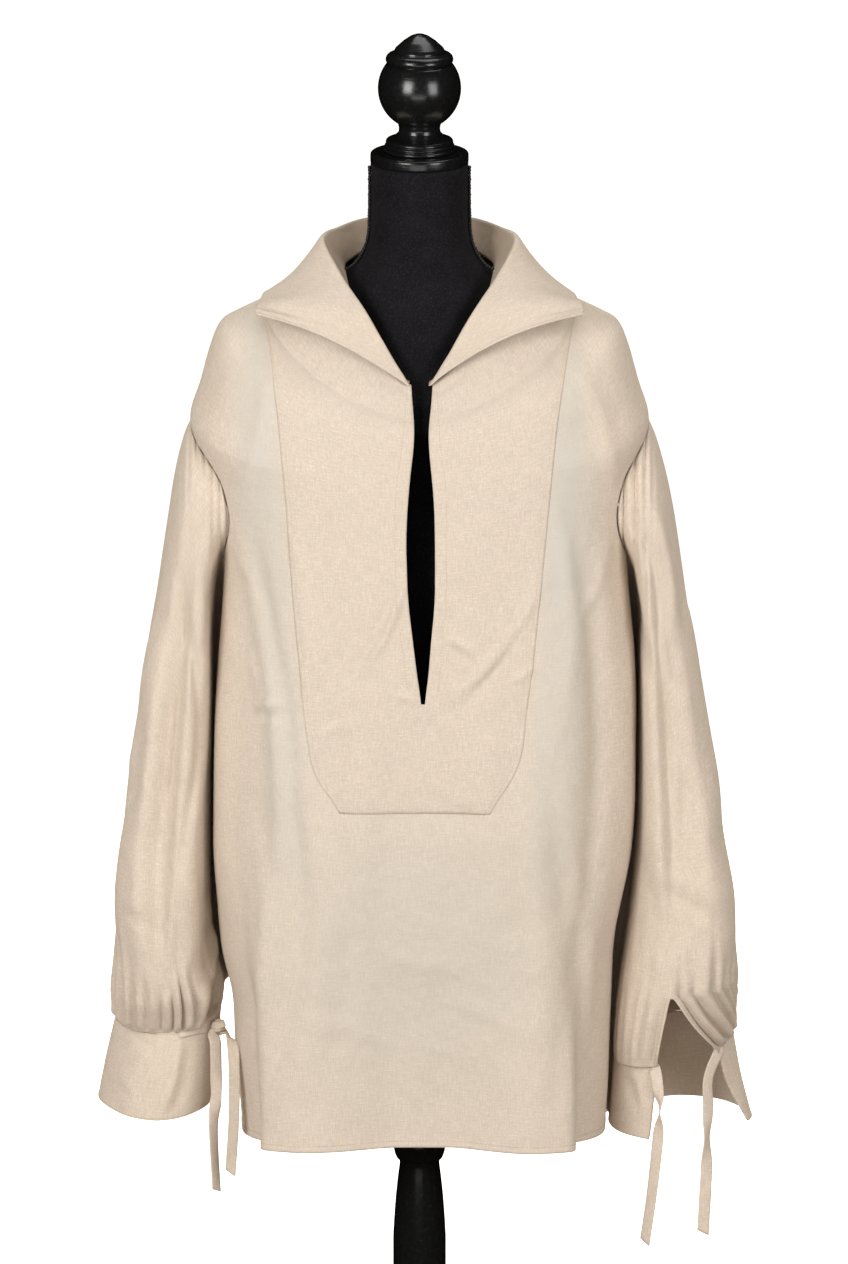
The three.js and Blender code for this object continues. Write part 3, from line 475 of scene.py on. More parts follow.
def side_angle(row):
    """Where the front ends at a row: at the side, or at the edge of the armhole."""
    part = (row - ROW["armhole_top"]) / (ROW["underarm"] - ROW["armhole_top"])
    swing = np.sqrt(np.clip(1 - (2 * part - 1) ** 2, 0, 1))
    return 90 - ARMHOLE_SWING * swing


def seam_angle(row):
    return np.degrees(SEAM / 2 / read_ring(row)["front"])


def bib_edge(row, side):
    """The angle of the bib's edge at a row, kept off the armhole."""
    def inside(middle):
        point = body_base(side * middle, row)
        left, right = read_bib(point[..., 2])
        return side * point[..., 0] < (-left if side < 0 else right)

    return side * solve(np.zeros_like(row), side_angle(row) - BIB_MARGIN, inside)


def spread(low, high, count):
    """Evenly spaced columns between two arrays, one row of them for each entry."""
    t = np.linspace(0, 1, count + 1)
    return lerp(np.asarray(low)[:, None], np.asarray(high)[:, None], t)


# Meshes
def normals_of(points, closed):
    """Unit normals of a grid of points, outwards where rows fall and columns run to the right."""
    if closed:
        wrapped = np.concatenate([points[:, -1:], points, points[:, :1]], 1)
        across = wrapped[:, 2:] - wrapped[:, :-2]
    else:
        across = np.gradient(points, axis=1)
    along = np.gradient(points, axis=0)
    normal = np.cross(along, across)
    return normal / np.maximum(np.linalg.norm(normal, axis=-1, keepdims=True), 1e-9)


def arc_lengths(points, axis, centre):
    """Distances along an axis of a grid, measured from one of its lines."""
    lengths = np.linalg.norm(np.diff(points, axis=axis), axis=-1)
    total = np.cumsum(lengths, axis=axis)
    start = np.zeros_like(np.take(total, [0], axis=axis))
    total = np.concatenate([start, total], axis)
    return total - np.take(total, [centre], axis=axis)


def make_mesh(name, points, faces, material, uv=None, shade=None, smooth_faces=None):
    mesh = bpy.data.meshes.new(name)
    mesh.from_pydata((np.asarray(points) * MM).tolist(), [], faces)
    mesh.materials.append(material)
    round_faces = len(mesh.polygons) if smooth_faces is None else smooth_faces
    mesh.polygons.foreach_set("use_smooth", [index < round_faces for index in range(len(mesh.polygons))])
    if uv is not None:
        layer = mesh.uv_layers.new(name="cloth")
        corner = np.empty(len(mesh.loops), int)
        mesh.loops.foreach_get("vertex_index", corner)
        layer.data.foreach_set("uv", (np.asarray(uv)[corner] * MM).ravel())
    if shade is not None:
        attribute = mesh.attributes.new("shade", "FLOAT", "POINT")
        attribute.data.foreach_set("value", np.asarray(shade, float))
    mesh.validate()
    mesh.update()
    piece = bpy.data.objects.new(name, mesh)
    bpy.context.scene.collection.objects.link(piece)
    return piece


def cloth_wall(name, points, thickness, material, lift=0.0, closed=False, turned=False,
               missing=None, shade=None, centre=0):
    """A closed cloth wall on a grid of points, its outer face lifted off them by lift."""
    rows, columns = points.shape[:2]
    normal = normals_of(points, closed) * (-1 if turned else 1)
    lift = np.broadcast_to(np.asarray(lift, float), (rows, columns))[..., None]
    outer = points + normal * lift
    inner = outer - normal * thickness
    cells = columns if closed else columns - 1
    index = np.arange(rows * columns).reshape(rows, columns)
    after = np.roll(index, -1, 1) if closed else index[:, 1:]
    before = index if closed else index[:, :-1]
    a, b = before[:-1, :cells], after[:-1, :cells]
    c, d = before[1:, :cells], after[1:, :cells]
    present = np.ones((rows - 1, cells), bool) if missing is None else ~missing
    shift = rows * columns
    quads = [np.stack([a, c, d, b], -1)[present], np.stack([b, d, c, a], -1)[present] + shift]
    padded = np.zeros((rows + 1, cells + 2), bool)
    padded[1:-1, 1:-1] = present
    if closed:
        padded[1:-1, 0], padded[1:-1, -1] = present[:, -1], present[:, 0]
    middle = padded[1:-1, 1:-1]
    rims = (
        (middle & ~padded[1:-1, :-2], a, c),
        (middle & ~padded[2:, 1:-1], c, d),
        (middle & ~padded[1:-1, 2:], d, b),
        (middle & ~padded[:-2, 1:-1], b, a),
    )
    for open_side, p, q in rims:
        quads.append(np.stack([q, p, p + shift, q + shift], -1)[open_side])
    faces = np.concatenate(quads)
    if turned:
        faces = faces[:, ::-1]
    used, faces = np.unique(faces, return_inverse=True)
    faces = faces.reshape(-1, 4)
    positions = np.concatenate([outer.reshape(-1, 3), inner.reshape(-1, 3)])[used]
    u = arc_lengths(points, 1, centre)
    v = arc_lengths(points, 0, 0)
    flat = np.stack([u, -np.broadcast_to(v.mean(1, keepdims=True), u.shape)], -1).reshape(-1, 2)
    uv = np.concatenate([flat, flat])[used]
    values = None
    if shade is not None:
        spot = np.broadcast_to(shade, (rows, columns)).ravel()
        values = np.concatenate([spot, spot])[used]
    return make_mesh(name, positions, faces.tolist(), material, uv, values, 2 * int(present.sum()))


def falling_faces(rings, columns):
    """Faces between closed rings of points that follow each other downwards."""
    faces = []
    for i in range(rings - 1):
        for j in range(columns):
            k = (j + 1) % columns
            faces.append([i * columns + j, (i + 1) * columns + j, (i + 1) * columns + k, i * columns + k])
    return faces


def closed_tube(name, rings, ends, material, rising=False):
    """A solid of closed rings of points, each end filled round a height on the axis."""
    count, columns = rings.shape[:2]
    points = np.concatenate([rings.reshape(-1, 3), [[0, 0, height] for height in ends]])
    faces = falling_faces(count, columns)
    last = (count - 1) * columns
    for j in range(columns):
        k = (j + 1) % columns
        faces.append([j, k, len(points) - 2])
        faces.append([last + k, last + j, len(points) - 1])
    if rising:
        faces = [[face[0], *face[:0:-1]] for face in faces]
    return make_mesh(name, points, faces, material)


def turned_mesh(name, profile, material, segments=96):
    """A turned solid from radius and height pairs, from axis to axis."""
    profile = np.array(profile, float)
    turns = np.linspace(0, 2 * np.pi, segments, endpoint=False)
    body = profile[1:-1]
    rings = np.stack([
        body[:, None, 0] * np.cos(turns), body[:, None, 0] * np.sin(turns),
        np.broadcast_to(body[:, None, 1], (len(body), segments)),
    ], -1)
    return closed_tube(name, rings, (profile[0, 1], profile[-1, 1]), material, rising=True)


def rounded(profile, radius):
    """The profile with each inner corner cut to a small round of the given radius."""
    profile = [np.array(p, float) for p in profile]
    out = [profile[0]]
    for before, corner, after in zip(profile, profile[1:], profile[2:]):
        if corner[0] == 0:
            out.append(corner)
            continue
        back, on = (min(radius, 0.45 * np.linalg.norm(side)) * side / np.linalg.norm(side)
                    for side in (before - corner, after - corner))
        for t in (0, 0.33, 0.67, 1):
            out.append((1 - t) ** 2 * (corner + back) + 2 * t * (1 - t) * corner + t**2 * (corner + on))
    out.append(profile[-1])
    return out


# Shader sums
class Sum:
    """A shader value that takes part in Python sums."""

    def __init__(self, shader, socket):
        self.shader = shader
        self.socket = socket

    def _math(self, kind, *others, clamp=False):
        return self.shader.node("ShaderNodeMath", {"operation": kind, "use_clamp": clamp}, [self, *others])

    def __add__(self, other):
        return self._math("ADD", other)

    def __mul__(self, other):
        return self._math("MULTIPLY", other)

    def sine(self):
        return self._math("SINE")

    def clamped(self):
        return self._math("ADD", 0.0, clamp=True)


class Shader:
    """One procedural material, built node by node."""

    def __init__(self, name):
        self.material = bpy.data.materials.new(name)
        self.material.use_nodes = True
        self.tree = self.material.node_tree
        self.tree.nodes.clear()
        self.output = self.tree.nodes.new("ShaderNodeOutputMaterial")

    def node(self, kind, settings=None, inputs=None, output=0):
        """Adds a node with its settings and socket values, and returns one of its outputs."""
        node = self.tree.nodes.new(kind)
        for key, value in (settings or {}).items():
            setattr(node, key, value)
        pairs = inputs.items() if isinstance(inputs, dict) else enumerate(inputs or [])
        for key, value in pairs:
            if isinstance(value, Sum):
                self.tree.links.new(value.socket, node.inputs[key])
            else:
                node.inputs[key].default_value = value
        return Sum(self, node.outputs[output])

    def place(self):
        """The place on the object, in metres."""
        return self.node("ShaderNodeTexCoord", output=3)

    def vector(self, x, y, z=0.0):
        return self.node("ShaderNodeCombineXYZ", {}, [x, y, z])

    def noise(self, where, scale, detail=2.0, rough=0.5):
        return self.node("ShaderNodeTexNoise", {}, {
            "Vector": where, "Scale": scale, "Detail": detail, "Roughness": rough})

    def remap(self, value, low, high, to_low=0.0, to_high=1.0):
        return self.node("ShaderNodeMapRange", {"clamp": True}, [value, low, high, to_low, to_high])

    def mix(self, factor, first, second, blend="MIX"):
        settings = {"data_type": "RGBA", "blend_type": blend}
        return self.node("ShaderNodeMix", settings, {0: factor, 6: first, 7: second}, output=2)

    def parts(self, vector):
        """The three numbers of a vector."""
        split = self.node("ShaderNodeSeparateXYZ", {}, [vector]).socket.node
        return [Sum(self, socket) for socket in split.outputs]

    def bump(self, height, distance, strength=1.0, under=None):
        inputs = {"Height": height, "Distance": distance, "Strength": strength}
        if under is not None:
            inputs["Normal"] = under
        return self.node("ShaderNodeBump", {}, inputs)

    def principled(self, inputs):
        return self.node("ShaderNodeBsdfPrincipled", {}, inputs)

    def surface(self, shader):
        self.tree.links.new(shader.socket, self.output.inputs["Surface"])
        return self.material


def rgb(red, green, blue):
    return (red, green, blue, 1.0)


def tinted(colour, tint):
    return rgb(*[min(1.0, part * share) for part, share in zip(colour, tint)])


THREAD = 0.0007


def linen_material(name, base=(0.81, 0.715, 0.615), grey=(0.68, 0.665, 0.61), through=0.11):
    """Undyed linen and cotton cloth: plain weave, slubs, soft crumple, and painted shade: a greyer tone mixed
    in where the shade attribute marks cloth over the dark form or inside the collar.
    """
    s = Shader(name)
    uv = s.node("ShaderNodeUVMap", {"uv_map": "cloth"})
    place = s.place()
    u, v, _ = s.parts(uv)
    warp = (u * (2 * math.pi / THREAD)).sine()
    weft = (v * (2 * math.pi / THREAD)).sine()
    weave = warp * weft
    weft_slub = s.noise(s.vector(u * 70.0, v * 1050.0), 1.0, 4.0, 0.6)
    warp_slub = s.noise(s.vector(u * 960.0, v * 64.0, 3.0), 1.0, 4.0, 0.6)
    fleck = s.noise(s.vector(u, v), 430.0, 3.0, 0.6)
    cloud = s.noise(place, 9.0, 3.0)
    streaks = s.remap(weft_slub * 0.5 + warp_slub * 0.5, 0.38, 0.62)
    colour = s.mix(streaks, tinted(base, (0.84, 0.84, 0.84)), tinted(base, (1.16, 1.16, 1.16)))
    colour = s.mix(s.remap(fleck, 0.42, 0.62) * 0.7, colour, tinted(base, (0.90, 0.87, 0.82)))
    colour = s.mix(s.remap(cloud, 0.35, 0.7) * 0.20, colour, tinted(base, (0.97, 0.95, 0.90)))
    # Painted shade: the shade attribute, made uneven by mottle, mixes in the grey colour.
    shade = s.node("ShaderNodeAttribute", {"attribute_name": "shade"}, output=2)
    mottle = s.remap(s.noise(s.vector(u * 60.0, v * 60.0), 1.0, 4.0), 0.25, 0.75, 0.75, 1.15)
    colour = s.mix((shade * mottle).clamped(), colour, rgb(*grey))
    crumple = s.noise(place, 16.0, 3.0, 0.55) + s.noise(place, 44.0, 2.0, 0.5) * 0.35
    soft = s.bump(crumple, 0.008, 0.5)
    grain = s.bump(weft_slub * 0.6 + warp_slub * 0.6, 0.0005, 0.7, soft)
    threads = s.bump(weave, 0.00012, 0.6, grain)
    rough = s.remap(fleck, 0.2, 0.8, 0.82, 0.95)
    main = s.principled({
        "Base Color": colour, "Roughness": rough, "Normal": threads,
        "Sheen Weight": 0.12, "Sheen Roughness": 0.5, "Specular IOR Level": 0.25})
    glow = s.node("ShaderNodeBsdfTranslucent", {}, {
        "Color": s.mix(1.0, colour, rgb(1.0, 0.78, 0.55), "MULTIPLY"), "Normal": threads})
    return s.surface(s.node("ShaderNodeMixShader", {}, [through, main, glow]))


def jersey_material():
    """The form's black knitted cover."""
    s = Shader("black jersey")
    place = s.place()
    x, y, z = s.parts(place)
    ribs = (x * 5200.0).sine() * (z * 4400.0).sine()
    cloud = s.noise(place, 40.0, 3.0)
    dust = s.noise(place, 700.0, 2.0)
    colour = s.mix(s.remap(cloud, 0.3, 0.7), rgb(0.0045, 0.0042, 0.0055), rgb(0.008, 0.0075, 0.0095))
    colour = s.mix(s.remap(dust, 0.5, 0.75) * 0.7, colour, rgb(0.028, 0.027, 0.031))
    knit = s.bump(ribs, 0.00015, 0.5)
    return s.surface(s.principled({
        "Base Color": colour, "Roughness": s.remap(dust, 0.2, 0.8, 0.78, 0.95), "Normal": knit,
        "Sheen Weight": 0.03, "Sheen Roughness": 0.4, "Specular IOR Level": 0.12}))


def lacquer_material(name="black lacquered wood", shine=0.5):
    """Satin black lacquer on turned wood."""
    s = Shader(name)
    place = s.place()
    x, y, z = s.parts(place)
    rings = s.noise(s.vector(x * 14.0, y * 14.0, z * 900.0), 1.0, 2.0)
    dust = s.noise(place, 260.0, 3.0)
    colour = s.mix(s.remap(dust, 0.45, 0.8), rgb(0.006, 0.006, 0.0062), rgb(0.009, 0.009, 0.0095))
    return s.surface(s.principled({
        "Base Color": colour, "Roughness": s.remap(dust, 0.3, 0.8, 0.19, 0.30),
        "Normal": s.bump(rings, 0.0002, 0.35), "Specular IOR Level": shine,
        "Coat Weight": 0.1, "Coat Roughness": 0.15}))


def thread_material(name, colour, rough=0.7):
    """Sewing thread or braid cord with a fine twist."""
    s = Shader(name)
    place = s.place()
    x, y, z = s.parts(place)
    twist = ((x + y + z) * 9000.0).sine()
    tone = s.noise(place, 300.0)
    shade = s.mix(s.remap(tone, 0.3, 0.7), tinted(colour, (0.86, 0.86, 0.86)), rgb(*colour))
    return s.surface(s.principled({
        "Base Color": shade, "Roughness": rough, "Normal": s.bump(twist, 0.0001, 0.4)}))


LINEN = linen_material("linen")
# The bib's linen is the same cloth as the front, painted darker: painted shade that holds down the stronger
# light on the bib. The sleeve's facing uses it too.
BIB_LINEN_PAINTED_DARKER = linen_material("linen on the bib", base=(0.745, 0.66, 0.57), through=0.06)
# The collar's linen is the same cloth as the front, painted darker: painted shade that holds down the
# stronger light near the top. Its grey paints the shade inside the stand.
COLLAR_LINEN_PAINTED_DARKER = linen_material(
    "linen of the collar", base=(0.70, 0.615, 0.525), grey=(0.40, 0.315, 0.235), through=0.03)
JERSEY = jersey_material()
LACQUER = lacquer_material()
POST_LACQUER = lacquer_material("black lacquer of the post", 0.12)
THREAD_CREAM = thread_material("cream thread", (0.62, 0.50, 0.34))
BRAID = thread_material("black braid", (0.012, 0.012, 0.013), 0.3)


# Things that repeat along a path
def repeat_along(name, paths, spacing, size, material, bead=False):
    """Small stitches or beads at even steps along paths, made with Geometry Nodes and kept as a mesh."""
    curve = bpy.data.curves.new(name + " path", "CURVE")
    curve.dimensions = "3D"
    for path in paths:
        path = np.asarray(path, float) * MM
        spline = curve.splines.new("POLY")
        spline.points.add(len(path) - 1)
        spline.points.foreach_set("co", np.concatenate([path, np.ones((len(path), 1))], 1).ravel())
    holder = bpy.data.objects.new(name + " path", curve)
    bpy.context.scene.collection.objects.link(holder)

    tree = bpy.data.node_groups.new(name + " steps", "GeometryNodeTree")
    face = tree.interface
    face.new_socket("Geometry", in_out="INPUT", socket_type="NodeSocketGeometry")
    spacing_id = face.new_socket("Spacing", in_out="INPUT", socket_type="NodeSocketFloat").identifier
    seed_id = face.new_socket("Seed", in_out="INPUT", socket_type="NodeSocketInt").identifier
    face.new_socket("Geometry", in_out="OUTPUT", socket_type="NodeSocketGeometry")

    def add(kind, settings=None, **values):
        node = tree.nodes.new(kind)
        for key, value in (settings or {}).items():
            setattr(node, key, value)
        for key, value in values.items():
            node.inputs[key].default_value = value
        return node

    start, end = add("NodeGroupInput"), add("NodeGroupOutput")
    points = add("GeometryNodeCurveToPoints", {"mode": "LENGTH"})
    shape = add("GeometryNodeMeshIcoSphere", Radius=0.5, Subdivisions=2 if bead else 1)
    sized = add("GeometryNodeTransform", Scale=[value * MM for value in size])
    place = add("GeometryNodeInstanceOnPoints")
    varied = add("FunctionNodeRandomValue", {"data_type": "FLOAT"})
    varied.inputs[2].default_value = 0.88
    varied.inputs[3].default_value = 1.1
    real = add("GeometryNodeRealizeInstances")
    paint = add("GeometryNodeSetMaterial", Material=material)
    for source, out, target, into in (
        (start, "Geometry", points, "Curve"), (start, "Spacing", points, "Length"),
        (start, "Seed", varied, "Seed"), (points, "Points", place, "Points"),
        (points, "Rotation", place, "Rotation"), (shape, "Mesh", sized, "Geometry"),
        (sized, "Geometry", place, "Instance"), (varied, 1, place, "Scale"),
        (place, "Instances", real, "Geometry"), (real, "Geometry", paint, "Geometry"),
        (paint, "Geometry", end, "Geometry"),
    ):
        tree.links.new(source.outputs[out], target.inputs[into])

    modifier = holder.modifiers.new("steps", "NODES")
    modifier.node_group = tree
    modifier[spacing_id] = spacing * MM
    modifier[seed_id] = 7
    bpy.context.view_layer.update()
    made = holder.evaluated_get(bpy.context.evaluated_depsgraph_get())
    mesh = bpy.data.meshes.new_from_object(made)
    bpy.data.objects.remove(holder)
    mesh.name = name
    mesh.polygons.foreach_set("use_smooth", [True] * len(mesh.polygons))
    piece = bpy.data.objects.new(name, mesh)
    bpy.context.scene.collection.objects.link(piece)
    return piece


def lifted(at, u, v, out, step_u=0.4, step_v=0.02, turned=False):
    """Places of a surface moved out along its normal."""
    u, v = np.broadcast_arrays(np.asarray(u, float), np.asarray(v, float))
    across = at(u + step_u, v) - at(u - step_u, v)
    along = at(u, v + step_v) - at(u, v - step_v)
    normal = np.cross(along, across)
    normal /= np.maximum(np.linalg.norm(normal, axis=-1, keepdims=True), 1e-9)
    return at(u, v) + normal * (-out if turned else out)


# Body of the tunic
SIDE_CELLS = 36
BIB_CELLS = 46
BACK_CELLS = 110

shoulder_rows = np.linspace(ROW["neckline"], ROW["armhole_top"], 56)[:-1]
armhole_rows = armhole_row(np.linspace(0, 180, 37))
chest_rows = np.linspace(ROW["underarm"], row_at_height(BIB_FOOT), 62)[1:]
skirt_rows = np.linspace(row_at_height(BIB_FOOT), ROW["hem"], 82)[1:]
body_rows = np.concatenate([shoulder_rows, armhole_rows, chest_rows, skirt_rows])
bib_rows = body_rows[: len(body_rows) - len(skirt_rows)]


def bib_angles(rows):
    left, right = read_slit(read_ring(rows)["fore"])
    return np.concatenate([
        spread(bib_edge(rows, -1), angle_at_x(left, rows), BIB_CELLS),
        spread(angle_at_x(right, rows), bib_edge(rows, 1), BIB_CELLS),
    ], 1)


def front_angles(rows):
    middle = bib_angles(rows)
    side = side_angle(rows) - seam_angle(rows)
    return np.concatenate([
        spread(-side, middle[:, 0], SIDE_CELLS)[:, :-1],
        middle,
        spread(middle[:, -1], side, SIDE_CELLS)[:, 1:],
    ], 1)


def hem_lift(points):
    """The turned hem: a little thicker at the bottom edge, drawn in at its stitches."""
    above = -arc_lengths(points, 0, points.shape[0] - 1)
    edge = HEM_OUT * (1 - smooth(HEM_DEPTH - 1.0, HEM_DEPTH + 0.6, above))
    return edge - HEM_OUT * np.exp(-(((above - HEM_DEPTH + HEM_STITCH_IN) / 1.0) ** 2))


def slit_missing(rows, columns, cell):
    """The cells of a grid that the neck slit leaves open."""
    gone = np.zeros((len(rows) - 1, columns - 1), bool)
    gone[:, cell] = read_ring(rows[1:])["fore"] > SLIT_FOOT
    return gone


# Painted shade: a greyer, darker tone where the cloth is one layer over the dark form, standing in for the
# form showing through it, and on the belly and lower skirt: middle, half sizes and strength.
PAINTED_SHADE_DEPTH = 1.5
PAINTED_SHADE_COLUMNS = ("x", "z", "wide", "high", "strength")
FRONT_PAINTED_SHADE = {
    "left_high": (-160, 1225, 24, 150, 0.42),
    "left_mid": (-140, 1010, 26, 150, 0.26),
    "left_low": (-132, 880, 26, 110, 0.16),
    "right_high": (146, 1195, 24, 160, 0.42),
    "right_mid": (140, 1010, 30, 170, 0.26),
    "right_low": (132, 880, 30, 120, 0.16),
    "belly": (-5, 745, 150, 125, 0.28),
    "skirt": (0, 600, 150, 115, 0.16),
}


# Strength of the painted shade at each point, summed from the soft spots of a table.
def painted_shade_at(points, shades):
    total = np.zeros(points.shape[:-1])
    for values in shades.values():
        spot = dict(zip(PAINTED_SHADE_COLUMNS, values))
        far = (np.abs(points[..., 0] - spot["x"]) / spot["wide"]) ** 2.4
        far = far + (np.abs(points[..., 2] - spot["z"]) / spot["high"]) ** 2.4
        total = total + spot["strength"] * np.exp(-far)
    return np.clip(total, 0, 1)


front_grid = front_angles(body_rows)
front_points = body_point(front_grid, body_rows[:, None])
# The front carries the painted shade in its shade attribute.
front = cloth_wall(
    "front", front_points, CLOTH, LINEN, lift=hem_lift(front_points),
    missing=slit_missing(body_rows, front_grid.shape[1], SIDE_CELLS + BIB_CELLS),
    shade=painted_shade_at(front_points, FRONT_PAINTED_SHADE) * PAINTED_SHADE_DEPTH, centre=front_grid.shape[1] // 2,
)

bib_grid = bib_angles(bib_rows)
bib_points = body_point(bib_grid, bib_rows[:, None])
from_edge = np.minimum(arc_lengths(bib_points, 1, 0), -arc_lengths(bib_points, 1, bib_points.shape[1] - 1))
from_edge = np.minimum(from_edge, -arc_lengths(bib_points, 0, bib_points.shape[0] - 1))
bib_lift = lerp(0.12, BIB_LIFT, smooth(0, 14, from_edge))
bib_lift = bib_lift - 0.04 * np.exp(-(((from_edge - 1.8) / 0.8) ** 2))
bib = cloth_wall(
    "bib", bib_points, BIB_CLOTH, BIB_LINEN_PAINTED_DARKER, lift=bib_lift,
    missing=slit_missing(bib_rows, bib_grid.shape[1], BIB_CELLS), centre=bib_grid.shape[1] // 2,
)

back_side = side_angle(body_rows) - seam_angle(body_rows)
back_grid = spread(180 - back_side, 180 + back_side, BACK_CELLS)
back_points = body_point(back_grid, body_rows[:, None])
back = cloth_wall("back", back_points, CLOTH, LINEN, lift=hem_lift(back_points), centre=BACK_CELLS // 2)

# Collar
read_collar = table_reader(COLLAR, COLLAR_COLUMNS)


def collar_plain(along, across):
    """The collar without waves: along from left (-1) to right, across from seam to roll to edge."""
    side = np.where(along < 0, -1.0, 1.0)
    station = read_collar(np.abs(along) * (len(COLLAR) - 1))
    seam_row = lerp(ROW["neckline"] - 0.05, ROW["neck_bend"] + 0.3, smooth(95, 135, station["angle"]))
    seam = body_base(side * station["angle"], seam_row)
    roll = np.stack([side * station["rollX"], station["rollY"], station["rollZ"]], -1)
    edge = np.stack([side * station["edgeX"], station["edgeY"], station["edgeZ"]], -1)
    rise = np.clip(across, 0, 1)[..., None]
    fall = np.clip(across - 1, 0, 1)[..., None]
    point = lerp(lerp(seam, roll, rise), edge, fall)
    out = point * np.array([1.0, 1.0, 0.0])
    out /= np.maximum(np.linalg.norm(out, axis=-1, keepdims=True), 1e-9)
    swell = station["swell"][..., None] * np.sin(np.pi * fall)
    return point + out * swell * 0.5 + np.array([0.0, 0.0, 1.0]) * swell


def collar_point(along, across):
    """The collar, with its roll rounded and a few soft waves across its fall."""
    along, across = np.broadcast_arrays(np.asarray(along, float), np.asarray(across, float))
    reach = 0.055 * (1 - smooth(0.25, 1.0, np.abs(across - 1)))
    point = sum(collar_plain(along, across + reach * k) for k in (-1, -0.5, 0, 0.5, 1)) / 5
    fall = smooth(1.1, 1.9, across)
    wave = 1.6 * np.sin(along * 17 + 0.6) * np.sin(across * 2.1) + 0.9 * np.sin(along * 31 + 1.9)
    rise = fall * wave * smooth(0.0, 0.3, 1 - np.abs(along))
    across_fall = np.clip(across - 1, 0, 1)
    lift = np.where(along < 0, 5.5 * np.sin(np.pi * across_fall), 8.5 * np.sin(np.pi * across_fall**0.8))
    rise = rise + lift * smooth(0.72, 1.0, np.abs(along))
    inside = smooth(0.1, 0.5, across) * (1 - smooth(0.75, 1.0, across))
    rise = rise + inside * 1.4 * np.sin(along * 44 + 3 * across)
    return point + np.array([0.0, 0.0, 1.0]) * rise[..., None]


COLLAR_STATIONS = 221
collar_along = np.linspace(-1, 1, COLLAR_STATIONS)
collar_across = np.concatenate([
    np.linspace(0, 0.8, 14), np.linspace(0.83, 1.17, 16), np.linspace(1.21, 2, 32),
])
collar_points = collar_point(collar_along[None, :], collar_across[:, None])
# Painted shade: the inside of the stand, up to the roll, is darkened with the collar linen's grey.
collar_painted_shade = 1.1 * (1 - smooth(0.86, 1.02, collar_across))[:, None]
collar = cloth_wall("collar", collar_points, COLLAR_CLOTH, COLLAR_LINEN_PAINTED_DARKER, shade=collar_painted_shade,
                    centre=COLLAR_STATIONS // 2)

# Sleeves and cuffs. Turns run from the outer side (0) over the front (90) to the body (180) and behind.
GATHERS = 25
GATHER_OUT = 7.4
PLEAT_OUT = 5.6
SLEEVE_SQUARE = 2.4
BEHIND_TURN = 224
TUCK = 21
BODY_TURN = 146
ARMPIT_RECESS = 7
LOW_RECESS = 24


def near_turn(turn, middle, wide):
    """1 at a turn of a sleeve or cuff, and falling away on both sides of it."""
    return np.exp(-(((np.mod(turn, 360) - middle) / wide) ** 2))


def ring_point(side, ring, outward, forward, dip):
    """A point of a ring of a sleeve or cuff, from how far it lies outward, forward and down its dip."""
    return np.stack([
        side * ((ring["outX"] + ring["inX"]) / 2 + outward * (ring["outX"] - ring["inX"]) / 2),
        -ring["depth"] * forward,
        (ring["outZ"] + ring["inZ"]) / 2 + outward * (ring["outZ"] - ring["inZ"]) / 2 - ring["dip"] * dip,
    ], -1)


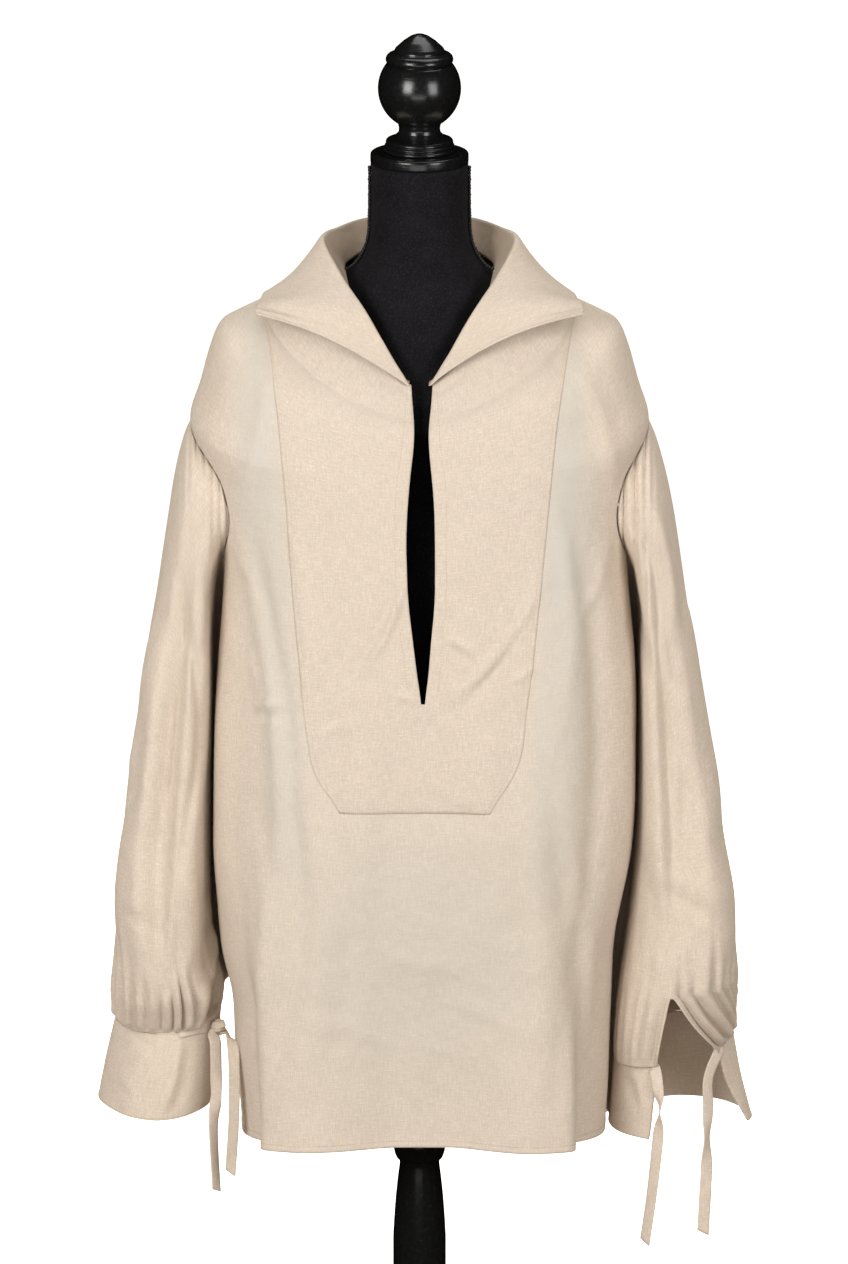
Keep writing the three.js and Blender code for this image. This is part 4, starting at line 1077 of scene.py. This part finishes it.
def sleeve_surface(side, table, folds, creases, opened, seed):
    rings = table_reader(table.values(), SLEEVE_COLUMNS)
    last = len(table) - 1

    def turn_at(around, row):
        if not opened:
            return 360 * around
        widen = np.clip((row - OPENING_TOP) / (last - OPENING_TOP), 0, 1) ** 0.8
        half = OPENING_ANGLES["joined"] / 2
        low = OPENING_ANGLES["top"] - half + (OPENING_ANGLES["outer"] - OPENING_ANGLES["top"]) * widen
        high = OPENING_ANGLES["top"] + half + (OPENING_ANGLES["inner"] - OPENING_ANGLES["top"]) * widen
        return high + (360 + low - high) * around

    def at(around, row):
        around, row = np.broadcast_arrays(np.asarray(around, float), np.asarray(row, float))
        turn = turn_at(around, row)
        sine, cosine = np.sin(radians(turn)), np.cos(radians(turn))
        ring = rings(row)
        norm = round_off(sine, cosine, SLEEVE_SQUARE)
        point = ring_point(side, ring, cosine / norm, sine / norm, sine)
        near_body = 1 - 0.8 * smooth(0.3, 0.9, -cosine)
        foot_length = 3.3 + 0.9 * np.sin(2 * np.pi * 4 * around + 2 * seed) * np.sin(2 * np.pi * 7 * around)
        foot = GATHER_OUT * smooth(last - foot_length, last - 1.7, row)
        foot = foot * (1 - 0.8 * smooth(last - 0.6, last, row))
        wave = foot * uneven_wave(around, GATHERS, seed + 1.3)
        long_folds = fold_height(folds, np.mod(turn, 360), point[..., 2])
        front = smooth(0.0, 0.3, sine)
        soft = front * crease_height(creases, point[..., 0], point[..., 2])
        behind = 1.3 * smooth(0.0, 0.3, -sine) * np.sin(point[..., 2] / 34 + 3 * cosine + seed)
        lift = soft + near_body * (wave + long_folds + behind * smooth(1.0, 3.0, row))
        tuck = TUCK * near_turn(turn, BEHIND_TURN, 17) * smooth(0.35, 1.5, row)
        tuck = tuck * (1 if opened else 1 - smooth(8.8, 9.8, row))
        point[..., 0] += side * (lift * cosine - tuck)
        point[..., 1] -= lift * sine
        scale = 1 - ARMHOLE_SEAM / ARMHOLE_RADIUS
        loop = body_point(side * armhole_angle(turn, scale), armhole_row(turn, scale))
        joined = lerp(loop, point, smooth(0, 1.6, row)[..., None])
        x = joined[..., 0]
        length = 1.7 + 0.8 * np.sin(x / 7.3 + seed) * np.sin(x / 15.1) + 0.5 * smooth(0, 1, -cosine)
        top = PLEAT_OUT * smooth(0.02, 0.3, row) * (1 - smooth(0.3, length, row))
        top = top * smooth(0.05, 0.4, np.abs(sine))
        joined[..., 1] -= np.sign(sine) * top * falling_pleats(x, seed)
        recess = ARMPIT_RECESS * near_turn(turn, BODY_TURN, 24) * smooth(0.08, 0.5, row)
        joined[..., 1] += recess * (1 - smooth(1.2, 2.6, row))
        if not opened:
            low = smooth(5.6, 7.4, row) * (1 - smooth(9.3, 10, row))
            joined[..., 1] += LOW_RECESS * low * near_turn(turn, BODY_TURN, 21)
        return joined

    return at


sleeve_at = {
    "left": sleeve_surface(-1, LEFT_SLEEVE, LEFT_SLEEVE_FOLDS, LEFT_SLEEVE_CREASES, False, 0.8),
    "right": sleeve_surface(1, RIGHT_SLEEVE, RIGHT_SLEEVE_FOLDS, RIGHT_SLEEVE_CREASES, True, 2.1),
}
sleeve_rows = np.concatenate([
    np.linspace(0.03, 2, 40), np.linspace(2, 7, 46)[1:], np.linspace(7, 10, 52)[1:],
])
ROUND = 168


def make_sleeve(name, side, at, opened):
    around = np.linspace(0, 1, ROUND if opened else ROUND + 1)[:ROUND]
    points = at(around[None, :], sleeve_rows[:, None])
    missing = None
    if opened:
        missing = np.zeros((len(sleeve_rows) - 1, ROUND), bool)
        missing[:, -1] = sleeve_rows[:-1] >= OPENING_TOP
    return cloth_wall(name, points, CLOTH, LINEN, closed=True, turned=side > 0, missing=missing,
                      shade=np.zeros(1), centre=ROUND // 4)


sleeve_left = make_sleeve("sleeve_left", -1, sleeve_at["left"], False)
sleeve_right = make_sleeve("sleeve_right", 1, sleeve_at["right"], True)

facing_rows = sleeve_rows[sleeve_rows >= OPENING_TOP]
facing_around = np.linspace(1 - 0.034, 1, 11)
facing_points = sleeve_at["right"](facing_around[None, :], facing_rows[:, None])
sleeve_facing = cloth_wall("sleeve_facing", facing_points, BIB_CLOTH, BIB_LINEN_PAINTED_DARKER, lift=BIB_LIFT, turned=True)


def cuff_surface(side, table, creases, seed):
    rings = table_reader(table.values(), SLEEVE_COLUMNS)

    def at(turn, row):
        turn, row = np.broadcast_arrays(np.asarray(turn, float), np.asarray(row, float))
        ring = rings(row)
        sine, cosine = np.sin(radians(turn)), np.cos(radians(turn))
        norm = round_off(sine, cosine, CUFF_SQUARE)
        ripple = 0.5 * np.sin(radians(turn) * 7 + seed) * smooth(0, 0.6, row)
        point = ring_point(side, ring, cosine / norm, sine / norm, sine / norm)
        ripple = ripple + smooth(0.0, 0.3, sine) * crease_height(creases, point[..., 0], point[..., 2])
        point[..., 0] += side * ripple * cosine
        point[..., 1] -= ripple * sine
        if side > 0:
            point[..., 0] -= (TUCK + 1) * near_turn(turn, BEHIND_TURN, 20)
        return point

    return at


cuff_at = {
    "left": cuff_surface(-1, LEFT_CUFF, LEFT_CUFF_CREASES, 0.4),
    "right": cuff_surface(1, RIGHT_CUFF, RIGHT_CUFF_CREASES, 1.9),
}
cuff_rows = np.linspace(0, 2, 44)
left_cuff_points = cuff_at["left"](np.linspace(0, 360, 160, endpoint=False)[None, :], cuff_rows[:, None])
cuff_left = cloth_wall("cuff_left", left_cuff_points, CUFF_CLOTH, LINEN, closed=True, shade=np.zeros(1))


def right_cuff_turns(rows, count, inset=0.0):
    """Turns of the right cuff from its inner to its outer end, moved in from both."""
    outer = lerp(RIGHT_CUFF_ENDS["seam"][0], RIGHT_CUFF_ENDS["edge"][0], rows / 2) - inset
    inner = lerp(RIGHT_CUFF_ENDS["seam"][1], RIGHT_CUFF_ENDS["edge"][1], rows / 2) + inset
    return spread(inner, 360 + outer, count)


right_cuff_points = cuff_at["right"](right_cuff_turns(cuff_rows, 150), cuff_rows[:, None])
cuff_right = cloth_wall("cuff_right", right_cuff_points, CUFF_CLOTH, LINEN, turned=True, shade=np.zeros(1))

# Ties
KNOT_TURN = 152
KNOT_ROW = 0.25
KNOT_SIZE = (7.5, 6, 7)


def on_cuff(side, turn, row, out):
    return lifted(cuff_at[side], turn, row, out, 1.0, 0.05, side == "right")


knot_place = on_cuff("left", KNOT_TURN, KNOT_ROW, KNOT_SIZE[1] + 1.4)
TIES = {
    "tie_left_wrap": {
        "cuff": "left", "start": ((101, 0.1), (112, 0.09), (124, 0.12), (133, 0.17), (139, 0.22)), "path": (),
        "width": 10, "across": (0, 0.16, 1), "twist": 0, "roll": (0.5, 0),
    },
    "tie_left_front": {
        "start": ((1.5, 0.4, -2.5), (5, 1, -7.4)),
        "path": ((-188, -43, 598), (-186, -55, 568), (-186.5, -61, 520), (-190, -62, 465)),
        "width": TIE_WIDTH, "across": (1, -0.3, 0), "twist": 14, "roll": (0.22, -50),
    },
    "tie_left_back": {
        "start": ((-1.5, -1, -2.5), (-5.4, -4.4, -6.6)),
        "path": ((-204, -39, 590), (-204, -44, 545), (-206, -46, 505), (-203, -44, 442)),
        "width": TIE_WIDTH, "across": (1, 0.35, 0), "twist": -30, "roll": (0.5, 60),
    },
    "tie_right_inner": {
        "cuff": "right", "start": ((111, 0.08), (108, 0.16)),
        "path": ((238.5, -62, 553), (240, -64, 530), (238, -64, 495), (232, -63, 440), (225.5, -61, 393)),
        "width": TIE_WIDTH, "across": (1, -0.25, 0.2), "twist": 22, "roll": (0.36, 70),
    },
    "tie_right_outer": {
        "cuff": "right", "start": ((38, 0.1), (39, 0.2)),
        "path": ((290, -48, 560), (289.5, -50, 530), (288.5, -51, 480), (284.5, -51, 400)),
        "width": TIE_WIDTH, "across": (1, 0.9, 0.36), "twist": 40, "roll": (0.62, -48),
    },
}


def through(places, count):
    """A smooth path through places, sampled evenly."""
    places = np.array(places, float)
    knots = np.concatenate([[0], np.cumsum(np.linalg.norm(np.diff(places, axis=0), axis=1) ** 0.5)])
    padded = np.concatenate([[2 * places[0] - places[1]], places, [2 * places[-1] - places[-2]]])
    read = table_reader(padded, ("x", "y", "z"))
    rows = np.interp(np.linspace(0, knots[-1], count), knots, np.arange(len(places)) + 1.0)
    found = read(rows)
    return np.stack([found["x"], found["y"], found["z"]], -1)


def make_tie(name, tie):
    """A tape that hangs along a path, twists, and rolls over once where its table says."""
    first = [
        on_cuff(tie["cuff"], *place, 1.5 * SEAM + TIE_CLOTH) if "cuff" in tie
        else knot_place + np.array(place)
        for place in tie["start"]
    ]
    spine = through([*first, *tie["path"]], 80)
    tangent = np.gradient(spine, axis=0)
    tangent /= np.linalg.norm(tangent, axis=1, keepdims=True)
    wide = np.array(tie["across"], float)
    wide = wide - tangent * (tangent @ wide)[:, None]
    wide /= np.linalg.norm(wide, axis=1, keepdims=True)
    along = np.linspace(0, 1, len(spine))
    spot, roll = tie["roll"]
    turn = np.radians(tie["twist"]) * smooth(0.15, 0.9, along)
    turn = turn + np.radians(roll) * np.exp(-(((along - spot) / 0.09) ** 2))
    facing = np.cross(tangent, wide)
    wide = wide * np.cos(turn)[:, None] + facing * np.sin(turn)[:, None]
    facing = np.cross(tangent, wide)
    across = np.linspace(-1, 1, 9)
    cup = 0.5 * across**2
    if "cuff" not in tie:
        wide = wide * lerp(0.4, 1.0, smooth(0.0, 0.14, along))[:, None]
    points = (spine[:, None] + wide[:, None] * (across * tie["width"] / 2)[None, :, None]
              - facing[:, None] * cup[None, :, None])
    slant = 2.6 * smooth(0.9, 1.0, along) * (len(tie["path"]) > 0)
    points = points + tangent[:, None] * (across[None, :, None] * slant[:, None, None])
    return cloth_wall(name, points, TIE_CLOTH, LINEN, centre=4, shade=np.zeros(1))


ties = {name: make_tie(name, tie) for name, tie in TIES.items()}


def make_knot():
    """The knot: a soft lump of folded tape with a few wrapped ridges."""
    rows, columns = 40, 56
    tilt = np.linspace(0.03, np.pi - 0.03, rows)[:, None]
    turn = np.linspace(0, 2 * np.pi, columns, endpoint=False)[None, :]
    swell = 1 + 0.10 * np.sin(3 * turn + 4 * tilt) * np.sin(tilt) + 0.07 * np.sin(9 * tilt + turn)
    unit = np.stack([np.sin(tilt) * np.sin(turn), -np.sin(tilt) * np.cos(turn), np.cos(tilt) + 0 * turn], -1)
    points = knot_place + unit * swell[..., None] * np.array(KNOT_SIZE) * 0.97
    faces = falling_faces(rows, columns)
    faces.append(list(range(columns)))
    faces.append(list(range((rows - 1) * columns, rows * columns))[::-1])
    flat = points.reshape(-1, 3)
    uv = np.stack([flat[:, 0], flat[:, 2]], -1)
    return make_mesh("tie_left_knot", flat, faces, LINEN, uv, np.zeros(len(flat)))


tie_left_knot = make_knot()

# Form and stand
FORM_INSETS = (
    ("neck_top", 0), ("neck_mid", 0), ("neck_low", 0), ("neck_bend", 0.2), ("neckline", 2.1),
    ("shoulder_in", 2.1), ("shoulder_mid", 4.9), ("shoulder_out", 7.1), ("shoulder_turn", 12),
    ("drop_high", 28), ("armhole_top", 46), ("armhole_high", 40), ("underarm", 34), ("chest", 38),
    ("waist", 44), ("hip", 38), ("thigh", 34), ("skirt_high", 36),
)


def make_form():
    """The covered form: the body's rings drawn in, so that it stays clear of the cloth."""
    columns = 120
    rows = np.linspace(0, ROW["skirt_high"], 132)
    inset = np.interp(rows, [ROW[name] for name, _ in FORM_INSETS], [value for _, value in FORM_INSETS])
    turns = np.linspace(0, 360, columns, endpoint=False)
    angles = np.where(turns > 180, turns - 360, turns)
    grid = np.broadcast_to(angles, (len(rows), columns))
    free = np.where(rows > ROW["neck_bend"], 1, 0)[:, None] * FORM_CLEAR * np.abs(np.cos(radians(grid)))
    free = free * smooth(ROW["neck_bend"], ROW["neckline"], rows)[:, None]
    points = lifted(body_base, grid, np.maximum(rows, 0.03)[:, None], 0.0)
    normal = lifted(body_base, grid, np.maximum(rows, 0.03)[:, None], 1.0) - points
    points = points - normal * (inset[:, None] + free)[..., None]
    points[0, :, 2] = FORM_TOP
    points[-1, :, 2] = FORM_BOTTOM
    return closed_tube("form", points, (FORM_TOP, FORM_BOTTOM), JERSEY)


form = make_form()


def trim_path(side):
    rows = np.linspace(0.1, ROW["neckline"] - 0.16, 120)
    return lifted(body_base, np.full(120, side * TRIM_ANGLE), rows, TRIM_LIFT)


BEAD = 3.9
BEAD_STEP = 3.0
trims = {name: repeat_along(name, [trim_path(side)], BEAD_STEP, (BEAD, BEAD, BEAD), BRAID, bead=True)
         for name, side in (("trim_left", -1), ("trim_right", 1))}


def ball(low, high, count):
    angles = np.radians(np.linspace(low, high, count))
    return [(BALL_RADIUS * np.cos(a), BALL_HEIGHT + BALL_RADIUS * np.sin(a)) for a in angles]


# The finial's turned rings: under the ball by radius and rise over the cap, above it by radius and height.
FINIAL_FOOT = (
    (35, 0), (35.5, 2.4), (34.4, 3.4), (33.2, 4.4), (34.6, 5.2), (35, 6.4), (34.2, 7.6), (32.8, 8.4),
    (33.6, 9.2), (33.8, 10.6), (32.6, 12.6), (25, 15.6), (21, 19.5), (20.5, 23.5),
)
FINIAL_HEAD = (
    (31.0, 1590), (32.6, 1590.6), (33.7, 1592.6), (33.8, 1595), (32.8, 1597.6), (30.4, 1599.8),
    (26.4, 1600.4), (25.2, 1601), (25.4, 1602.6), (24, 1605.4), (16.2, 1612.6), (9, 1617.6), (4, 1619.5),
)


def make_finial():
    foot = CAP_TOP + SEAM
    middle = ball(-59, 36, 48)
    low = [(0, foot), *((radius, foot + rise) for radius, rise in FINIAL_FOOT), middle[0]]
    high = [middle[-1], *FINIAL_HEAD, (0, FINIAL_TOP)]
    profile = [(0, foot), *rounded(low, 0.9)[1:-1], *middle, *rounded(high, 1.0)[1:]]
    return turned_mesh("finial", profile, LACQUER)


finial = make_finial()
CAP_FOOT = CAP_TOP - CAP_THICK
neck_cap = turned_mesh("neck_cap", rounded([
    (0, CAP_FOOT), (CAP_RADIUS - 0.6, CAP_FOOT), (CAP_RADIUS, CAP_FOOT + 1.2), (CAP_RADIUS, CAP_TOP - 1.8),
    (CAP_RADIUS - 1.8, CAP_TOP), (0, CAP_TOP),
], 1.4), LACQUER)
POST_FOOT = BASE_THICK + SEAM
POST_TOP = FORM_BOTTOM - SEAM
post = turned_mesh("post", rounded([
    (0, POST_FOOT), (48, POST_FOOT), (48, POST_FOOT + 10), (38, POST_FOOT + 20), (24, POST_FOOT + 34),
    (20, POST_FOOT + 60), (22, 170), (POST_RADIUS, 290), (POST_RADIUS, 385), (25.5, 403), (24, 424),
    (22, 444), (19.5, 463), (23, 465), (26, 474), (26, 484), (20, 492), (17, 500), (17, POST_TOP),
    (0, POST_TOP),
], 5), POST_LACQUER)
base = turned_mesh("base", rounded([
    (0, 0), (BASE_RADIUS - 4, 0), (BASE_RADIUS, 4), (BASE_RADIUS, 14), (BASE_RADIUS - 8, BASE_THICK - 4),
    (BASE_RADIUS - 20, BASE_THICK), (0, BASE_THICK),
], 4), LACQUER)

# Stitches
STITCH = (0.8, 0.7, 2.3)
STITCH_STEP = 2.9
STITCH_LIFT = 0.15
SLIT_STITCH_IN = 3.2


def row_above_hem(points, above):
    """The running row of each column at a distance above the bottom edge."""
    heights = -arc_lengths(points, 0, points.shape[0] - 1)
    return np.array([np.interp(above, heights[::-1, j], body_rows[::-1]) for j in range(points.shape[1])])


def hem_path(points, grid):
    rows = row_above_hem(points, HEM_DEPTH - HEM_STITCH_IN)
    angles = np.array([np.interp(row, body_rows, grid[:, j]) for j, row in enumerate(rows)])
    return lifted(body_point, angles, rows, 0.35)


hem_stitches = repeat_along(
    "hem_stitches", [hem_path(front_points, front_grid), hem_path(back_points, back_grid)],
    STITCH_STEP, STITCH, THREAD_CREAM)

BIB_STITCH_TURN = 1.4
bib_low = bib_rows[bib_rows > ROW["neckline"] + 0.3]
bib_left = bib_angles(bib_low)[:, 0] + BIB_STITCH_TURN
bib_right = bib_angles(bib_low)[:, -1] - BIB_STITCH_TURN
foot_row = bib_rows[-1] - 0.05
foot_angles = np.linspace(bib_left[-1], bib_right[-1], 120)
slit_rows = bib_low[read_ring(bib_low)["fore"] > SLIT_FOOT + 14]
slit_columns = bib_angles(slit_rows)
slit_sides = ((-1, slit_columns[:, BIB_CELLS]), (1, slit_columns[:, BIB_CELLS + 1]))
bib_stitches = repeat_along("bib_stitches", [
    lifted(body_point, bib_left, bib_low, STITCH_LIFT),
    lifted(body_point, foot_angles, np.full(120, foot_row), STITCH_LIFT),
    lifted(body_point, bib_right, bib_low, STITCH_LIFT),
    *[lifted(body_point, slit_angles + side * SLIT_STITCH_IN, slit_rows, BIB_LIFT - 0.1)
      for side, slit_angles in slit_sides],
], STITCH_STEP, STITCH, THREAD_CREAM)

def on_collar(along, across):
    along, across = np.broadcast_arrays(along, across)
    return lifted(collar_point, along, across, STITCH_LIFT, 0.004, 0.02)


collar_lines = [on_collar(np.linspace(-0.985, 0.985, 400), across) for across in (1.955, 1.92)]
for end in (-1, 1):
    for along in (0.978, 0.955):
        collar_lines.append(on_collar(end * along, np.linspace(1.06, 1.955, 220)))
collar_stitches = repeat_along("collar_stitches", collar_lines, STITCH_STEP, STITCH, THREAD_CREAM)

CUFF_STITCH_ROWS = (0.09, 1.93)
cuff_lines = [on_cuff("left", np.linspace(0, 360, 300), row, STITCH_LIFT) for row in CUFF_STITCH_ROWS]
for row in CUFF_STITCH_ROWS:
    line = right_cuff_turns(np.array([row]), 260, 2.0)[0]
    cuff_lines.append(on_cuff("right", line, row, STITCH_LIFT))
slit_edge_rows = np.linspace(OPENING_TOP + 0.05, 9.9, 90)
for around, out in ((0.010, STITCH_LIFT), (1 - 0.005, BIB_LIFT), (1 - 0.030, BIB_LIFT)):
    cuff_lines.append(lifted(sleeve_at["right"], around, slit_edge_rows, out, 0.003, 0.03, True))
cuff_stitches = repeat_along("cuff_stitches", cuff_lines, STITCH_STEP, STITCH, THREAD_CREAM)

# The pieces' part in the frame
REPLACED = {
    "front": front, "bib": bib, "back": back, "collar": collar, "sleeve_left": sleeve_left,
    "sleeve_right": sleeve_right, "sleeve_facing": sleeve_facing, "cuff_left": cuff_left,
    "cuff_right": cuff_right, "tie_left_knot": tie_left_knot, **ties,
}
for name, piece in REPLACED.items():
    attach(piece, "root")
    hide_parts(name)
for piece in (hem_stitches, bib_stitches, collar_stitches, cuff_stitches):
    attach(piece, "root")
STAND = {
    "form": (form, "jersey"), "trim_left": (trims["trim_left"], "jersey"),
    "trim_right": (trims["trim_right"], "jersey"), "neck_cap": (neck_cap, "black_wood"),
    "finial": (finial, "black_wood"), "post": (post, "black_wood"), "base": (base, "black_wood"),
}
for name, (piece, slot) in STAND.items():
    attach(piece, "root")
    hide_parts(name)

# Light, floor and camera
scene = bpy.context.scene
scene.view_settings.view_transform = "Standard"
scene.view_settings.look = "None"
world = bpy.data.worlds.new("studio")
scene.world = world
world.use_nodes = True
world.cycles_visibility.glossy = False
world_inputs = world.node_tree.nodes["Background"].inputs
world_inputs["Color"].default_value = rgb(1.0, 0.86, 0.70)
world_inputs["Strength"].default_value = 0.34

floor_shader = Shader("lit white floor")
floor_material = floor_shader.surface(floor_shader.principled({
    "Base Color": rgb(0.9, 0.9, 0.9), "Roughness": 1.0, "Specular IOR Level": 0.0,
    "Emission Color": rgb(1.0, 1.0, 1.0), "Emission Strength": 0.86}))
FLOOR_WIDE = 20000
FLOOR_DEEP = 28000
floor_corners = [(x * FLOOR_WIDE, y * FLOOR_DEEP, 0) for x, y in ((-1, -1), (1, -1), (1, 1), (-1, 1))]
floor = make_mesh("floor", floor_corners, [[0, 1, 2, 3]], floor_material)
floor.visible_diffuse = False
floor.visible_glossy = False
floor.visible_transmission = False


def area_light(name, place, aim, size, power, colour):
    light = bpy.data.lights.new(name, "AREA")
    light.shape = "RECTANGLE"
    light.size, light.size_y = size
    light.energy = power
    light.color = colour
    lamp = bpy.data.objects.new(name, light)
    lamp.location = place
    lamp.rotation_euler = (Vector(aim) - Vector(place)).to_track_quat("-Z", "Y").to_euler()
    scene.collection.objects.link(lamp)
    return lamp


LIGHTS = {
    "key": ((-1.8, -2.8, 2.2), (0, 0, 0.98), (1.3, 1.7), 80, (1.0, 0.99, 0.975)),
    "fill": ((2.1, -2.7, 2.0), (0, 0, 0.95), (1.3, 1.8), 52, (1.0, 0.99, 0.985)),
    "low": ((-0.2, -3.3, 0.7), (0, 0, 0.5), (2.2, 0.7), 12, (1.0, 0.985, 0.965)),
    "backdrop": ((0, 3.2, 1.3), (0, 0, 1.0), (3.4, 2.6), 70, (1.0, 0.93, 0.84)),
    "top": ((0.2, 0.4, 3.4), (0, 0, 1.2), (1.8, 1.2), 20, (1.0, 1.0, 1.0)),
}
lamps = {name: area_light(name, *values) for name, values in LIGHTS.items()}
lamps["backdrop"].visible_glossy = False
lamps["backdrop"].visible_camera = False

CAMERA_DISTANCE = 26.0
CAMERA_RISE = math.radians(13.5)
VIEW_HEIGHT = 1.264
target = Vector((0.0045, 0.0, 1.0079))
camera_data = bpy.data.cameras.new("camera")
camera_data.lens = camera_data.sensor_width * CAMERA_DISTANCE / VIEW_HEIGHT
camera_data.clip_end = 200
camera = bpy.data.objects.new("camera", camera_data)
camera.location = target + CAMERA_DISTANCE * Vector((0, -math.cos(CAMERA_RISE), math.sin(CAMERA_RISE)))
camera.rotation_euler = (target - camera.location).to_track_quat("-Z", "Y").to_euler()
scene.collection.objects.link(camera)
scene.camera = camera
